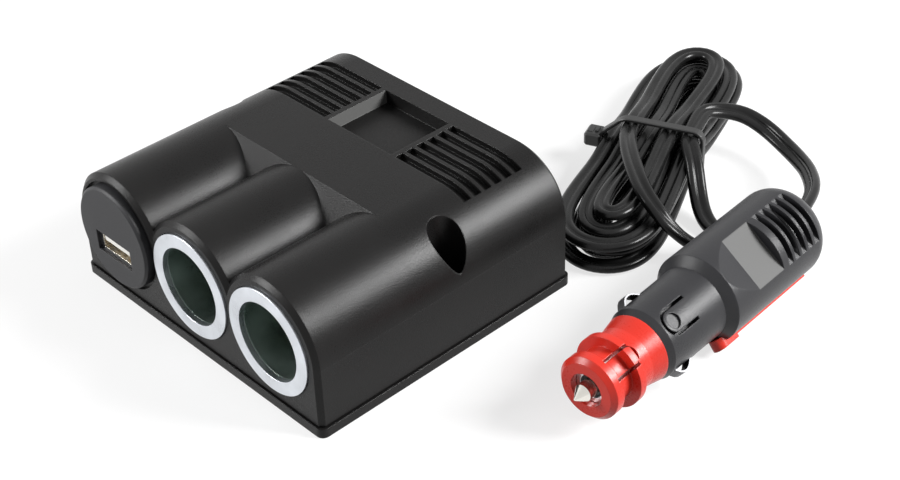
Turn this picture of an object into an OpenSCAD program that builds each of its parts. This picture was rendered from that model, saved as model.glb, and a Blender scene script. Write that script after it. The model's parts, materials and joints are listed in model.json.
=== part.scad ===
// Twelve-volt extension socket: a moulded housing with two lighter-style
// sockets and a USB charging panel, a hank of twin cord and a universal plug.
// Millimetres. X runs across the sockets, Y back from their mouths, Z up.
// The origin is under the middle of the housing, in the plane it rests on.

/* [Housing] */
// Width of the base plate
base_w = 95; // [93:0.5:110]
// Depth of the base plate
base_d = 84; // [82:0.5:100]
// Thickness of the base plate
base_t = 2.6; // [2:0.1:4]
// Overhang of the base plate round the housing
base_lip = 0.5; // [0:0.1:1.5]
// Radius of the three arches, to the outside
arch_r = 17; // [16.6:0.1:19]
// Distance between neighbouring arches
arch_pitch = 30; // [28:0.5:32]
// Height of the arches' centre line
arch_z = 19.5; // [18:0.5:24]
// Wall of the housing
wall = 2.4; // [2:0.1:3]
// Bevel round the front and rear faces
edge_bevel = 1.2; // [0.5:0.1:1.8]
// Depth of the arches in front of the deck
arch_run = 35.5; // [33:0.5:40]
// Length of the sloping pockets between the arches
pocket_run = 5.5; // [3:0.5:8]

/* [Deck] */
// Length of the label recess and of the grooved fields
panel_len = 20; // [16:0.5:22]
// Width of the label recess
panel_w = 24; // [18:0.5:26]
// Depth of the label recess
panel_depth = 4; // [2:0.5:6]
// Distance from the housing's front face to the recess
panel_start = 55.5; // [54:0.5:58]
// Number of grooves on each side of the recess
groove_count = 6; // [4:1:8]
// Ridge left between two grooves
groove_ridge = 1; // [0.6:0.1:1.4]
// Depth of the grooves
groove_depth = 1.5; // [0.8:0.1:1.6]
// Half width of the grooved fields
groove_reach = 38; // [34:0.5:40]
// Land between the recess and the grooves
groove_land = 1.5; // [1:0.1:3]

/* [Fixing screws] */
// Distance between the two fixing holes
fix_pitch = 84; // [83:0.5:86]
// Clearance between the sockets' rear end and the posts of the fixing holes
fix_clear = 0.2; // [0.2:0.1:1]
// Radius of the shafts that sink the screw heads
fix_shaft_r = 4.6; // [3.5:0.1:5]
// Radius of the screw holes
fix_hole_r = 2.25; // [1.75:0.05:2.75]
// Height of the ledge that takes the screw heads
fix_ledge_z = 7; // [5:0.5:9]

/* [Sockets] */
// Radius of the sockets' bore
bore_r = 10.5; // [10.4:0.05:10.7]
// Wall of the steel sleeves
sleeve_t = 0.8; // [0.5:0.1:1]
// Length of the steel sleeves
sleeve_len = 36; // [34:0.5:38]
// Outer radius of the bright rings and of the USB panel
ring_r = 14.1; // [13.5:0.1:14.5]
// Thickness of the rings' flange
ring_t = 1.6; // [1.2:0.1:2.4]
// How far the rings stand out of the front face
ring_proud = 0.6; // [0.2:0.1:1]

/* [USB panel] */
// How far the USB panel stands out of the front face
usb_proud = 2; // [1:0.1:3]
// Height of the port's middle
usb_z = 16; // [15:0.5:18]
// Width of the port's metal shell
usb_w = 12.5; // [12:0.1:13]
// Height of the port's metal shell
usb_h = 5.1; // [4.5:0.1:5.5]

/* [Plug] */
// Radius of the plug's neck at its front
neck_r = 9.6; // [9.4:0.05:10.2]
// Radius of the plug's handle
handle_r = 12.1; // [12:0.1:14]
// Length of the plug's handle
handle_len = 43.3; // [42:0.1:60]
// Radius of the plug's inner nose
nose_r = 6; // [5.8:0.05:6.1]
// Travel of the centre pin
pin_travel = 3; // [1:0.5:3.5]
// Travel of the side contacts
contact_travel = 1.2; // [0.5:0.1:1.2]
// Travel of the red slider
slider_travel = 4; // [1:0.5:4]

/* [Cord] */
// Width of the flat twin cord
cord_w = 5; // [4:0.5:6]
// Thickness of the flat twin cord
cord_t = 2.6; // [2:0.1:3]
// Step between loops that lie side by side
loop_step = 5.5; // [5.4:0.1:6]
// Step between layers of loops
layer_step = 3.4; // [3.2:0.1:4]

/* [Hidden] */

$fn = 96;
over = 1;            // overrun of every cut
gap = 0.15;          // clearance of a seated piece
parting = 0.35;      // dark line between housing and base plate
black = [0.13, 0.13, 0.13];
steel = [0.8, 0.82, 0.84];
brassy = [0.8, 0.66, 0.36];
red = [0.88, 0.2, 0.15];

// Places along Y, worked out from the base plate and what stands out in front
base_front = -(base_d + base_lip - usb_proud) / 2;
base_rear = base_front + base_d;
shell_front = base_front + base_lip;
shell_rear = base_rear - base_lip;
shell_half = base_w / 2 - base_lip;
deck_front = shell_front + arch_run;
deck_z = arch_z + arch_r;
valley_z = arch_z + sqrt(arch_r * arch_r - arch_pitch * arch_pitch / 4);
shell_z = base_t + parting;
front_wall = wall + ring_t;
panel_y = shell_front + panel_start;
groove_pitch = (panel_len + groove_ridge) / groove_count;
groove_w = groove_pitch - groove_ridge;
socket_x = [0, arch_pitch];
usb_x = -arch_pitch;
arches_x = [-arch_pitch, 0, arch_pitch];
deck_x = [-arch_pitch, arch_pitch];

// Sleeve, ring and the things behind them
sleeve_r = bore_r + sleeve_t;
sleeve_y = shell_front - ring_proud + ring_t;
sleeve_end = sleeve_y + sleeve_len;
spigot_t = 0.7;
spigot_r = sleeve_r + gap + spigot_t;
spigot_len = 8;
insulator_in = 2;
insulator_flange = 1.6;
insulator_end = sleeve_end + insulator_flange;
contact_r = 1.5;
contact_head_r = 3.4;
contact_head_t = 0.8;
bar_t = 0.8;
bar_h = 5;
bar_end = insulator_end + bar_t;
bar_seam = 0.05;
insulator_r = bore_r + sleeve_t / 2;
seam = 0.05;

// Screws and their bosses
boss_r = 3;
boss_hole_r = 1.25;
boss_x = arch_pitch / 2;
boss_top = 11;
boss_y_front = shell_front + front_wall + boss_r - over;
boss_y_rear = shell_rear - wall - boss_r + over;
boss_x_rear = 33;
screw_r = 1.15;
screw_head_r = 2.6;
screw_head_t = 1.4;
screw_len = 8;
fix_post_wall = 1.5;
fix_post_r = fix_shaft_r + fix_post_wall;
fix_y = bar_end + fix_clear + fix_post_r;

// USB board
board_t = 1.6;
board_w = 22;
board_len = 26;
usb_sheet = 0.35;
usb_shell_len = 14;
usb_window_w = usb_w + 2;
usb_window_h = usb_h + 1;
usb_snout_r = 11.6;
usb_snout_len = 6;
usb_inset = 1;
usb_seat_gap = 0.9;
usb_face = shell_front - usb_proud;
usb_shell_y = usb_face + usb_inset;
usb_floor_z = usb_z - usb_h / 2;
board_z = usb_floor_z - board_t;
board_y = shell_front + front_wall + usb_snout_len;
rail_t = 2;
rail_x = board_w / 2 - rail_t;

usb_parts_shares = [[-0.25, 0.55], [0.25, 0.5], [0.25, 0.85], [-0.35, 0.78]];
coil_r = 4;
coil_h = 4.5;
capacitor_r = 3;
capacitor_h = 8;
small_capacitor_r = 2.5;
small_capacitor_h = 7;
chip = [5, 4, 1.6];
usb_block = 4;
usb_lead = 1;
usb_bar_lead = 2;
usb_room = 18;

// Cord outlet in the rear wall
outlet_z = 12;
grommet_r = 5.5;
grommet_neck_r = 4.4;
grommet_flange = 1.5;
grommet_tail = 5;
grommet_taper = 1;
grommet_start = shell_rear - wall - grommet_flange - gap;
grommet_end = shell_rear + grommet_flange + grommet_tail;

// Plug: places along its own axis, from the pin's tip
plug_x = 88.85;
plug_y = -0.45;
plug_turn = 94.65;
plug_roll = 37;
ring_front = 4.2;
ring_flange = 3.6;
ring_hub = 4.8;
ring_rim = 2;
ring_neck = 4.4;
ring_cone = 4.5;
ring_hub_r = 6.9;
ring_step_r = 8.1;
ring_flange_r = 8.3;
ring_rim_r = 9.4;
ring_cone_r = 9;
ring_mouth_r = 4.4;
ring_wall = 1.8;
neck_front = ring_front + ring_flange + ring_hub + ring_rim + ring_neck + ring_cone + gap;
neck_len = 22.1;
neck_bevel = 2;
neck_taper = 0.25;
neck_rear_r = neck_r + neck_taper;
handle_front = neck_front + neck_len;
handle_end = handle_front + handle_len;
handle_edge = 2.2;
tail_round = 6;
tail_wall = 6;
handle_wall = 3.6;
cavity_r = handle_r - handle_wall;
nose_front = ring_front + ring_wall + gap;
nose_seat = 2;
nose_rear = handle_front + nose_seat;
nose_t = 1.2;
nose_lip_r = 3.1;
nose_bore = nose_r - nose_t;
nose_seam = 0.06;
nose_flange = 1.6;
nose_flange_t = 1;
ring_rim_u = ring_front + ring_flange + ring_hub;
ring_cone_u = ring_rim_u + ring_rim + ring_neck;
floor_gap = 0.1;
plug_axis_z = handle_r + floor_gap;
pad_start = 11.3;
pad_len = 10.5;
pad_w = 14.7;
rib_start = 25.1;
rib_count = 5;
rib_pitch = 2.9;
rib_w = 1.9;
rib_sunk = 0.2;
tongue_w = 5.4;
tongue_len = 10.5;
tongue_slot = 0.8;
tongue_dent = 0.6;
tongue_dent_share = 0.36;
tongue_start = 2.4;
tongue_u = neck_front + tongue_start;
ring_tongue_w = 4.4;
ring_tongue_start = 3;
ring_tongue_len = 9.2;

// Pin, spring and fuse inside the nose
pin_r = 2.25;
pin_cone = 3;
pin_tip_r = 0.25;
pin_collar_r = 3.6;
pin_collar_t = 1.5;
bush_front = nose_front + nose_t + nose_seam;
bush_len = 3.8;
pin_collar_u = bush_front + bush_len + gap;
pin_tail_r = 1.4;
pin_tail_len = 4;
pin_end = pin_collar_u + pin_collar_t + pin_tail_len;
spring_r = 3.3;
spring_wire = 0.7;
spring_turns = 5;
fuse_front = 25;
fuse_len = 30;
fuse_r = 3;
fuse_cap_r = 3.2;
fuse_cap_len = 6;
clip_t = 0.6;
clip_len = 7;

// Side contacts
contact_start = 3;
contact_u = neck_front + contact_start;
contact_span = 8.5;
contact_lip = 1;
contact_w = 3.2;
contact_sheet = 0.5;
contact_peak = 1.8;
contact_bows = 10;
contact_skew = 0.75;
contact_sunk = 1.5;
contact_seat_r = neck_r - contact_sunk;

// Red slider
slider_angle = 104;
slider_w = 4.6;
slider_t = 1.5;
slider_lead = 0.9;
slider_run = 36;
slider_proud = 0.5;
nub_len = 7;
nub_proud = 1.3;
slider_start = handle_front - slider_lead;
slider_end = handle_front + slider_run;

// Screws of the plug
plug_screw_starts = [16.5, 33];
plug_screw_u = [for (start = plug_screw_starts) handle_front + start];
plug_screw_r = 1.2;
plug_screw_head_r = 2.4;
plug_screw_head_t = 1.6;
plug_boss_r = 2.6;
plug_screw_top = 6.5;
plug_head_sunk = 0.8;

// Hank: a long loop drawn in at its waist
hank_x = 27.8;
hank_y = 98.5;
hank_turn = 23;
hank_half = 53.5;
hank_waist = 12.4;
hank_bulge = 13;
hank_layers = 4;
hank_rings = 28;
hank_lift = 1.7;
hank_lift_half = 16;
hank_z = cord_t / 2;
hank_start = 0.17;
hank_stop = 7;
hank_run = 2;
hank_spread = 0.15;
tie_t = 1;
tie_w = 2.6;
tie_gap = 0.3;
tie_head = [4.8, 6, 4.6];

// Last pass of the hank: a stray loop over its lower end and out to the plug,
// by hand, as places beside the hank's middle and shares of its height
stray_mid = [[-6.6, -5, 1.14], [-4.9, -11, 1.22], [-1.9, -18, 1.28], [2.3, -26, 1.3],
             [7.4, -33.6, 1.24], [12.6, -38, 1.05], [16.8, -39, 0.75], [20.8, -38.2, 0.44],
             [25.2, -36.9, 0.2], [29.4, -36.6, 0.125], [32, -33.6, 0.125], [31.6, -29.6, 0.125],
             [28.4, -27.4, 0.125], [24.2, -25.8, 0.14], [20.2, -21.8, 0.24], [17, -16.4, 0.52],
             [14, -10.6, 0.93], [11.2, -5.8, 1.12], [9.9, -1.5, 1.13]];
stray_end = [9.7, 3.4, 1.13];

// Route of the cord from the housing to the hank, chosen by hand
lead_out_mid = [[1, 57.5, 10.6], [5, 61.8, 7.6], [11, 63.8, 4.6], [17.5, 63.3, 2.5],
                [23.5, 61.2, 1.5]];
// Route of the cord from the hank to the plug, chosen by hand
lead_plug_mid = [[34, 118, 12.2], [39, 122.5, 11], [46, 124, 8.8], [53.5, 122.5, 7.4],
                 [60.8, 119.2, 7.6], [68.7, 113.3, 9.4], [76.4, 104.3, 11.4]];
lead_sides = 8;
lead_steps = 2;

// Turns a piece drawn up the Z axis so that it points back along Y
module along_y(x, y, z) translate([x, y, z]) rotate([-90, 0, 0]) children();

// Half-round arches and skirts of the housing as one slab, d inside the surface
module arch_slab(xs, y0, y1, d)
    translate([0, y1, 0]) rotate([90, 0, 0]) linear_extrude(y1 - y0) arch_profile(xs, d);

// Front view of the arches: round tops over straight skirts
module arch_profile(xs, d) {
    half = arch_pitch + arch_r - d;
    for (x = xs) translate([x, arch_z]) intersection() {
        circle(arch_r - d);
        translate([-arch_r, 0]) square([2 * arch_r, arch_r]);
    }
    translate([-half + gap / 4, shell_z]) square([2 * half - gap / 2, arch_z - shell_z + gap / 4]);
}

// Flat deck between two round shoulders as one slab, d inside the surface
module deck_slab(y0, y1, d)
    translate([0, y1, 0]) rotate([90, 0, 0]) linear_extrude(y1 - y0) {
        arch_profile(deck_x, d);
        translate([-arch_pitch, arch_z]) square([2 * arch_pitch, arch_r - d]);
    }

// One bevelled end of the arches: cones over a skirt with cut corners, each
// with a root that tapers into the slab behind it
module arch_bevel(xs, y, inward) {
    half = arch_pitch + arch_r - gap / 4;
    y1 = y + inward * edge_bevel;
    y2 = y1 + inward * edge_bevel;
    for (x = xs) intersection() {
        translate([x, y, arch_z]) rotate([-90 * inward, 0, 0]) {
            cylinder(h = edge_bevel, r1 = arch_r - edge_bevel, r2 = arch_r);
            translate([0, 0, edge_bevel / 2]) cylinder(h = edge_bevel, r = arch_r - edge_bevel / 2);
        }
        translate([x - arch_r, y - 2 * edge_bevel, shell_z])
            cube([2 * arch_r, 4 * edge_bevel, deck_z]);
    }
    translate([0, 0, shell_z]) linear_extrude(arch_z - shell_z)
        polygon([[-half + edge_bevel, y], [half - edge_bevel, y], [half, y1],
                 [half - edge_bevel, y2], [-half + edge_bevel, y2], [-half, y1]]);
}

// Outside of the housing: three arches in front, one flat deck behind
module housing_outside() {
    arch_bevel(arches_x, shell_front, 1);
    arch_slab(arches_x, shell_front + edge_bevel, deck_front, 0);
    arch_slab(arches_x, deck_front - over, deck_front + over, edge_bevel);
    deck_slab(deck_front, shell_rear - edge_bevel, 0);
    arch_bevel(deck_x, shell_rear, -1);
    // Slopes from the deck down into the valleys, and the rear edge's bevel
    translate([-arch_pitch, 0, 0]) rotate([90, 0, 90]) linear_extrude(2 * arch_pitch) {
        polygon([[deck_front - pocket_run, valley_z], [deck_front, deck_z],
                 [deck_front + over, deck_z - over], [deck_front + over, arch_z],
                 [deck_front - pocket_run, arch_z]]);
        polygon([[shell_rear - edge_bevel, deck_z], [shell_rear, deck_z - edge_bevel],
                 [shell_rear, arch_z], [shell_rear - 2 * edge_bevel, arch_z],
                 [shell_rear - 2 * edge_bevel, deck_z - edge_bevel]]);
    }
}

// Space inside the housing
module housing_inside() {
    arch_slab(arches_x, shell_front + front_wall, deck_front + over, wall);
    difference() {
        deck_slab(deck_front, shell_rear - wall, wall);
        translate([-panel_w / 2 - wall, panel_y - wall, deck_z - panel_depth - wall])
            cube([panel_w + 2 * wall, panel_len + 2 * wall, panel_depth + wall + over]);
        // The grooved fields keep their wall underneath
        translate([-groove_reach, panel_y - wall, deck_z - wall - groove_depth / 2])
            cube([2 * groove_reach, panel_len + 2 * wall, wall]);
    }
    translate([-shell_half + wall, shell_front + front_wall, 0])
        cube([2 * (shell_half - wall), shell_rear - wall - shell_front - front_wall, arch_z]);
}

// One field of grooves on the deck, cut to an even depth over the shoulder
module groove_field(side) {
    x0 = panel_w / 2 + groove_land;
    difference() {
        for (k = [0 : groove_count - 1])
            translate([side > 0 ? x0 : -groove_reach, panel_y + k * groove_pitch, arch_z])
                cube([groove_reach - x0, groove_w, arch_r + over]);
        arch_slab([side * arch_pitch], panel_y - over, panel_y + panel_len + over, groove_depth);
        translate([side > 0 ? 0 : -arch_pitch, panel_y - over, 0])
            cube([arch_pitch, panel_len + 2 * over, deck_z - groove_depth]);
    }
}

// Ledge post round one fixing screw, from the deck down to the base plate
module fix_post(side) intersection() {
    translate([side * fix_pitch / 2, fix_y, base_t]) cylinder(h = deck_z - base_t, r = fix_post_r);
    union() {
        arch_slab([side * arch_pitch], fix_y - fix_post_r - over, fix_y + fix_post_r + over, wall / 2);
        translate([side > 0 ? 0 : -shell_half + wall / 2, fix_y - fix_post_r, base_t])
            cube([shell_half - wall / 2, 2 * fix_post_r, wall]);
    }
}

module screw_boss(x, y, inward) {
    translate([x, y, base_t]) cylinder(h = boss_top - base_t, r = boss_r);
    translate([x - boss_r, inward > 0 ? y - boss_r : y, base_t])
        cube([2 * boss_r, boss_r, boss_top - base_t]);
}

module boss_places() {
    for (side = [-1, 1]) {
        translate([side * boss_x, boss_y_front, 0]) children();
        translate([side * boss_x_rear, boss_y_rear, 0]) children();
    }
}

module housing_shell() color(black) difference() {
    union() {
        difference() {
            housing_outside();
            housing_inside();
        }
        for (side = [-1, 1]) {
            fix_post(side);
            screw_boss(side * boss_x, boss_y_front, 1);
            screw_boss(side * boss_x_rear, boss_y_rear, -1);
        }
    }
    // Label recess and grooves
    translate([-panel_w / 2, panel_y, deck_z - panel_depth]) cube([panel_w, panel_len, panel_depth + over]);
    for (side = [-1, 1]) groove_field(side);
    // Seats and holes of the two socket rings
    for (x = socket_x) {
        along_y(x, shell_front - over, arch_z)
            cylinder(h = over + ring_t - ring_proud + gap, r = ring_r + gap);
        along_y(x, shell_front - over, arch_z)
            cylinder(h = front_wall + 2 * over, r = spigot_r + gap);
    }
    // Seat and hole of the USB panel
    along_y(usb_x, shell_front - over, arch_z)
        cylinder(h = over + ring_t - ring_proud + gap, r = ring_r + usb_seat_gap);
    along_y(usb_x, shell_front - over, arch_z) cylinder(h = front_wall + 2 * over, r = usb_snout_r + gap);
    // Cord outlet
    along_y(0, shell_rear - wall - over, outlet_z) cylinder(h = wall + 2 * over, r = grommet_neck_r + gap);
    // Fixing screws: a shaft for the head and a hole through the ledge
    for (side = [-1, 1]) translate([side * fix_pitch / 2, fix_y, 0]) {
        translate([0, 0, fix_ledge_z]) cylinder(h = deck_z, r = fix_shaft_r);
        cylinder(h = deck_z, r = fix_hole_r);
    }
    boss_places() cylinder(h = boss_top - over, r = boss_hole_r);
}

// Saddle rib that carries the sleeves from below
saddle_back = 8;
saddle_y = sleeve_end - saddle_back;
saddle_t = 2;
saddle_share = 0.8;
saddle_top = arch_z - sleeve_r / 2;
corner_r = 2;

module base_plate() color(black) difference() {
    union() {
        translate([0, (base_front + base_rear) / 2, 0]) rounded_plate(base_w, base_d, base_t, corner_r);
        difference() {
            translate([-sleeve_r * saddle_share, saddle_y, base_t / 2])
                cube([arch_pitch + 2 * sleeve_r * saddle_share, saddle_t, saddle_top - base_t / 2]);
            for (x = socket_x) along_y(x, saddle_y - over, arch_z)
                cylinder(h = saddle_t + 2 * over, r = sleeve_r + seam);
        }
        // Two rails under the USB board
        for (side = [-1, 1]) translate([usb_x + side * rail_x - rail_t / 2, board_y, base_t / 2])
            cube([rail_t, board_len, board_z - base_t / 2]);
    }
    for (side = [-1, 1]) translate([side * fix_pitch / 2, fix_y, -over])
        cylinder(h = base_t + 2 * over, r = fix_hole_r);
    boss_places() translate([0, 0, -over]) cylinder(h = base_t + 2 * over, r = screw_r + gap);
    boss_places() translate([0, 0, -over]) cylinder(h = screw_head_t + over, r = screw_head_r + gap);
}

// Plate with round corners
module rounded_plate(w, d, h, r) linear_extrude(h) union() {
    square([w - 2 * r, d], center = true);
    square([w, d - 2 * r], center = true);
    for (sx = [-1, 1], sy = [-1, 1]) translate([sx * (w / 2 - r), sy * (d / 2 - r)]) circle(r);
}

module base_screws() color(steel) boss_places() difference() {
    union() {
        cylinder(h = screw_head_t, r = screw_head_r);
        cylinder(h = screw_len, r = screw_r);
    }
    translate([0, 0, -over]) rotate([0, 0, 45]) cube([screw_head_r, screw_r / 2, 3 * over], center = true);
}

// Bright ring round a socket's mouth
module socket_ring(x) color([0.88, 0.9, 0.92]) along_y(x, shell_front - ring_proud, arch_z) difference() {
    union() {
        cylinder(h = ring_t, r = ring_r);
        cylinder(h = spigot_len, r = spigot_r);
    }
    translate([0, 0, -over]) cylinder(h = spigot_len + 2 * over, r = bore_r);
    translate([0, 0, ring_t]) cylinder(h = spigot_len, r = sleeve_r + seam);
}

module socket_ring_middle() socket_ring(socket_x[0]);
module socket_ring_right() socket_ring(socket_x[1]);

// Steel sleeve with two spring tongues that grip the plug
sleeve_slot = 0.8;
sleeve_tongue_w = 6;
sleeve_tongue_len = 13;
sleeve_tongue_y = 12;

module socket_sleeve(x) color(steel) along_y(x, sleeve_y, arch_z) difference() {
    cylinder(h = sleeve_len, r = sleeve_r);
    translate([0, 0, -over]) cylinder(h = sleeve_len + 2 * over, r = bore_r);
    translate([0, 0, sleeve_len - insulator_in]) cylinder(h = insulator_in + over, r = insulator_r + seam);
    for (side = [-1, 1]) {
        for (edge = [-1, 1])
            translate([side * sleeve_r, edge * sleeve_tongue_w / 2,
                       sleeve_tongue_y + sleeve_tongue_len / 2])
                cube([sleeve_r, sleeve_slot, sleeve_tongue_len], center = true);
        translate([side * sleeve_r, 0, sleeve_tongue_y])
            cube([sleeve_r, sleeve_tongue_w + sleeve_slot, sleeve_slot], center = true);
    }
}

module socket_sleeve_middle() socket_sleeve(socket_x[0]);
module socket_sleeve_right() socket_sleeve(socket_x[1]);

// Insulator that closes the sleeve's rear end
module socket_insulator(x) color([0.35, 0.22, 0.12])
    along_y(x, sleeve_end - insulator_in, arch_z) difference() {
        union() {
            cylinder(h = insulator_in + insulator_flange, r = insulator_r);
            translate([0, 0, insulator_in]) cylinder(h = insulator_flange, r = sleeve_r);
        }
        translate([0, 0, -over])
            cylinder(h = insulator_in + insulator_flange + 2 * over, r = contact_r + seam);
        translate([0, 0, -over]) cylinder(h = contact_head_t + over, r = contact_head_r + seam);
    }

module socket_insulator_middle() socket_insulator(socket_x[0]);
module socket_insulator_right() socket_insulator(socket_x[1]);

// Brass rivet that touches the plug's pin, with its head flush in the insulator
module socket_contact(x) color(brassy) along_y(x, sleeve_end - insulator_in, arch_z) difference() {
    union() {
        cylinder(h = contact_head_t, r = contact_head_r);
        cylinder(h = insulator_in + insulator_flange + bar_t + contact_head_t, r = contact_r);
    }
    translate([0, 0, -contact_r / 2]) sphere(r = contact_r);
}

module socket_contact_middle() socket_contact(socket_x[0]);
module socket_contact_right() socket_contact(socket_x[1]);

// Strip that joins the two centre contacts
module positive_bar() color([0.72, 0.42, 0.25]) difference() {
    translate([-bar_h, insulator_end, arch_z - bar_h / 2]) cube([arch_pitch + 2 * bar_h, bar_t, bar_h]);
    for (x = socket_x) along_y(x, insulator_end - over, arch_z)
        cylinder(h = bar_t + 2 * over, r = contact_r + seam);
}

// Strip that joins the two sleeves from below
module negative_bar() color([0.72, 0.42, 0.25])
    translate([-bar_h, sleeve_end - bar_h, arch_z - sleeve_r - bar_t - bar_seam])
        cube([arch_pitch + 2 * bar_h, bar_h, bar_t]);

// Round panel with the USB port's window
module usb_panel() color([0.32, 0.32, 0.33]) difference() {
    union() {
        along_y(usb_x, usb_face + edge_bevel / 2, arch_z)
            cylinder(h = usb_proud + ring_t - ring_proud - edge_bevel / 2, r = ring_r);
        along_y(usb_x, usb_face, arch_z)
            cylinder(h = edge_bevel / 2, r1 = ring_r - edge_bevel / 2, r2 = ring_r);
        along_y(usb_x, usb_face, arch_z)
            cylinder(h = usb_proud + front_wall + usb_snout_len - ring_t, r = usb_snout_r);
    }
    translate([usb_x - usb_window_w / 2, usb_face - over, usb_z - usb_window_h / 2])
        cube([usb_window_w, usb_inset + over, usb_window_h]);
    translate([usb_x - usb_w / 2 - gap, usb_face, usb_z - usb_h / 2 - gap])
        cube([usb_w + 2 * gap, usb_room, usb_h + 2 * gap]);
    // Room for the board behind the port
    along_y(usb_x, usb_face + usb_proud + ring_t, arch_z)
        cylinder(h = usb_room, r = usb_snout_r - wall);
}

// Metal shell of the port, open at the front
module usb_shell() color(steel) difference() {
    translate([usb_x - usb_w / 2, usb_shell_y, usb_floor_z]) cube([usb_w, usb_shell_len, usb_h]);
    translate([usb_x - usb_w / 2 + usb_sheet, usb_shell_y - over, usb_floor_z + usb_sheet])
        cube([usb_w - 2 * usb_sheet, usb_shell_len - usb_sheet + over, usb_h - 2 * usb_sheet]);
}

usb_tongue_t = 1.8;
usb_tongue_top = 0.5;
usb_tongue_side = 0.3;
usb_tongue_z = usb_z + usb_h / 2 - usb_sheet - usb_tongue_t - usb_tongue_top;
usb_tongue_w = usb_w - 2 * usb_sheet - 2 * usb_tongue_side;
usb_contact_w = 1;
usb_contact_t = 0.25;
usb_contact_pitch = 2.5;

// Plastic tongue inside the port, on a block that fills the rear
module usb_tongue() color([0.93, 0.93, 0.9]) {
    translate([usb_x - usb_tongue_w / 2, usb_shell_y + usb_lead, usb_tongue_z])
        cube([usb_tongue_w, usb_shell_len - usb_sheet - usb_lead, usb_tongue_t]);
    translate([usb_x - usb_tongue_w / 2, usb_shell_y + usb_shell_len - usb_sheet - usb_block,
               usb_floor_z + usb_sheet])
        cube([usb_tongue_w, usb_block, usb_h - 2 * usb_sheet]);
}

// Four gilt contacts under the tongue
module usb_contacts() color(brassy) for (k = [0 : 3])
    translate([usb_x + (k - 1.5) * usb_contact_pitch - usb_contact_w / 2, usb_shell_y + usb_bar_lead,
               usb_tongue_z - usb_contact_t])
        cube([usb_contact_w, usb_shell_len - usb_sheet - usb_block - usb_bar_lead, usb_contact_t]);

module usb_board() color([0.1, 0.35, 0.2])
    translate([usb_x - board_w / 2, board_y, board_z]) cube([board_w, board_len, board_t]);

// Coil, two capacitors and the regulator on the board
module usb_parts() color([0.3, 0.3, 0.32]) translate([usb_x, board_y, usb_floor_z]) {
    part_place(0) cylinder(h = coil_h, r = coil_r);
    part_place(1) cylinder(h = capacitor_h, r = capacitor_r);
    part_place(2) cylinder(h = small_capacitor_h, r = small_capacitor_r);
    part_place(3) cube(chip);
}

module part_place(k)
    translate([board_w * usb_parts_shares[k][0], board_len * usb_parts_shares[k][1], 0]) children();

// Rubber grommet that carries the cord through the rear wall
module cable_grommet() color([0.1, 0.1, 0.1]) along_y(0, grommet_start, outlet_z) {
    cylinder(h = grommet_flange, r = grommet_r);
    cylinder(h = grommet_end - grommet_start - grommet_tail, r = grommet_neck_r);
    translate([0, 0, wall + grommet_flange + 2 * gap]) cylinder(h = grommet_flange, r = grommet_r);
    translate([0, 0, grommet_end - grommet_start - grommet_tail])
        cylinder(h = grommet_tail, r1 = grommet_neck_r, r2 = grommet_neck_r - grommet_taper);
}

// Two cores from the grommet to the strips
wire_r = 1.1;
core_x = 1.5;
core_y = grommet_start - gap;
core_lead = 6;
core_run = 2;
plus_mid = [[4, 20, 13], [8, 10, 15], [9, 5, 17]];
plus_x = 9;
plus_y = bar_end + gap;
minus_mid = [[3, 20, 9], [10, 10, 7], [15, 4, 6.5]];
minus_x = 15;
minus_y = sleeve_end + gap;
minus_z = arch_z - sleeve_r - bar_t / 2;
plus_route = concat([[core_x, core_y, outlet_z], [core_x, core_y - core_lead, outlet_z]], plus_mid,
                    [[plus_x, plus_y + core_run, arch_z], [plus_x, plus_y, arch_z]]);
minus_route = concat([[-core_x, core_y, outlet_z], [-core_x, core_y - core_lead, outlet_z]], minus_mid,
                     [[minus_x, minus_y + core_run, minus_z], [minus_x, minus_y, minus_z]]);

module core(route) {
    p = smooth_route(route, lead_steps);
    swept(p, level_sides(p), oval_section(wire_r, wire_r, lead_sides));
}

module core_wires() {
    color([0.75, 0.1, 0.1]) core(plus_route);
    color([0.1, 0.1, 0.1]) core(minus_route);
}

// Sweep of a flat section along points, as one closed solid. Each ring lies
// square to the route, with its first axis along the given side
function unit(v) = v / norm(v);
function oval_section(a, b, n) = [for (k = [0 : n - 1]) let (t = 360 * (k + 0.5) / n)
    [a * cos(t), b * sin(t)]];
function flat_section(w, t) = [[w / 2, 0], [w / 4, t / 2], [-w / 4, t / 2],
                               [-w / 2, 0], [-w / 4, -t / 2], [w / 4, -t / 2]];
function tangent(p, k) = unit(p[min(k + 1, len(p) - 1)] - p[max(k - 1, 0)]);
function level_sides(p) = [for (k = [0 : len(p) - 1]) unit(cross(tangent(p, k), [0, 0, 1]))];
function ring_points(p, k, side, section) = let (y = cross(side, tangent(p, k)))
    [for (q = section) p[k] + q[0] * side + q[1] * y];
function tube_points(p, sides, section) = [for (k = [0 : len(p) - 1])
    each ring_points(p, k, sides[k], section)];

module swept(p, sides, section) {
    n = len(section);
    m = len(p);
    walls = [for (k = [0 : m - 2], j = [0 : n - 1]) let (a = k * n + j, b = k * n + (j + 1) % n)
        each [[a, b + n, b], [a, a + n, b + n]]];
    first = [for (j = [1 : n - 2]) [0, j, j + 1]];
    last = [for (j = [1 : n - 2]) [(m - 1) * n, (m - 1) * n + j + 1, (m - 1) * n + j]];
    polyhedron(points = tube_points(p, sides, section), faces = concat(walls, first, last));
}

// Points between hand-chosen ones, on a smooth curve through all of them
function blend(a, b, c, d, t) = 0.5 * ((2 * b) + (c - a) * t + (2 * a - 5 * b + 4 * c - d) * t * t
                                       + (3 * b - a - 3 * c + d) * t * t * t);
function smooth_route(p, steps) = concat(
    [for (k = [0 : len(p) - 2], s = [0 : steps - 1])
        blend(p[max(k - 1, 0)], p[k], p[k + 1], p[min(k + 2, len(p) - 1)], s / steps)],
    [p[len(p) - 1]]);

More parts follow.
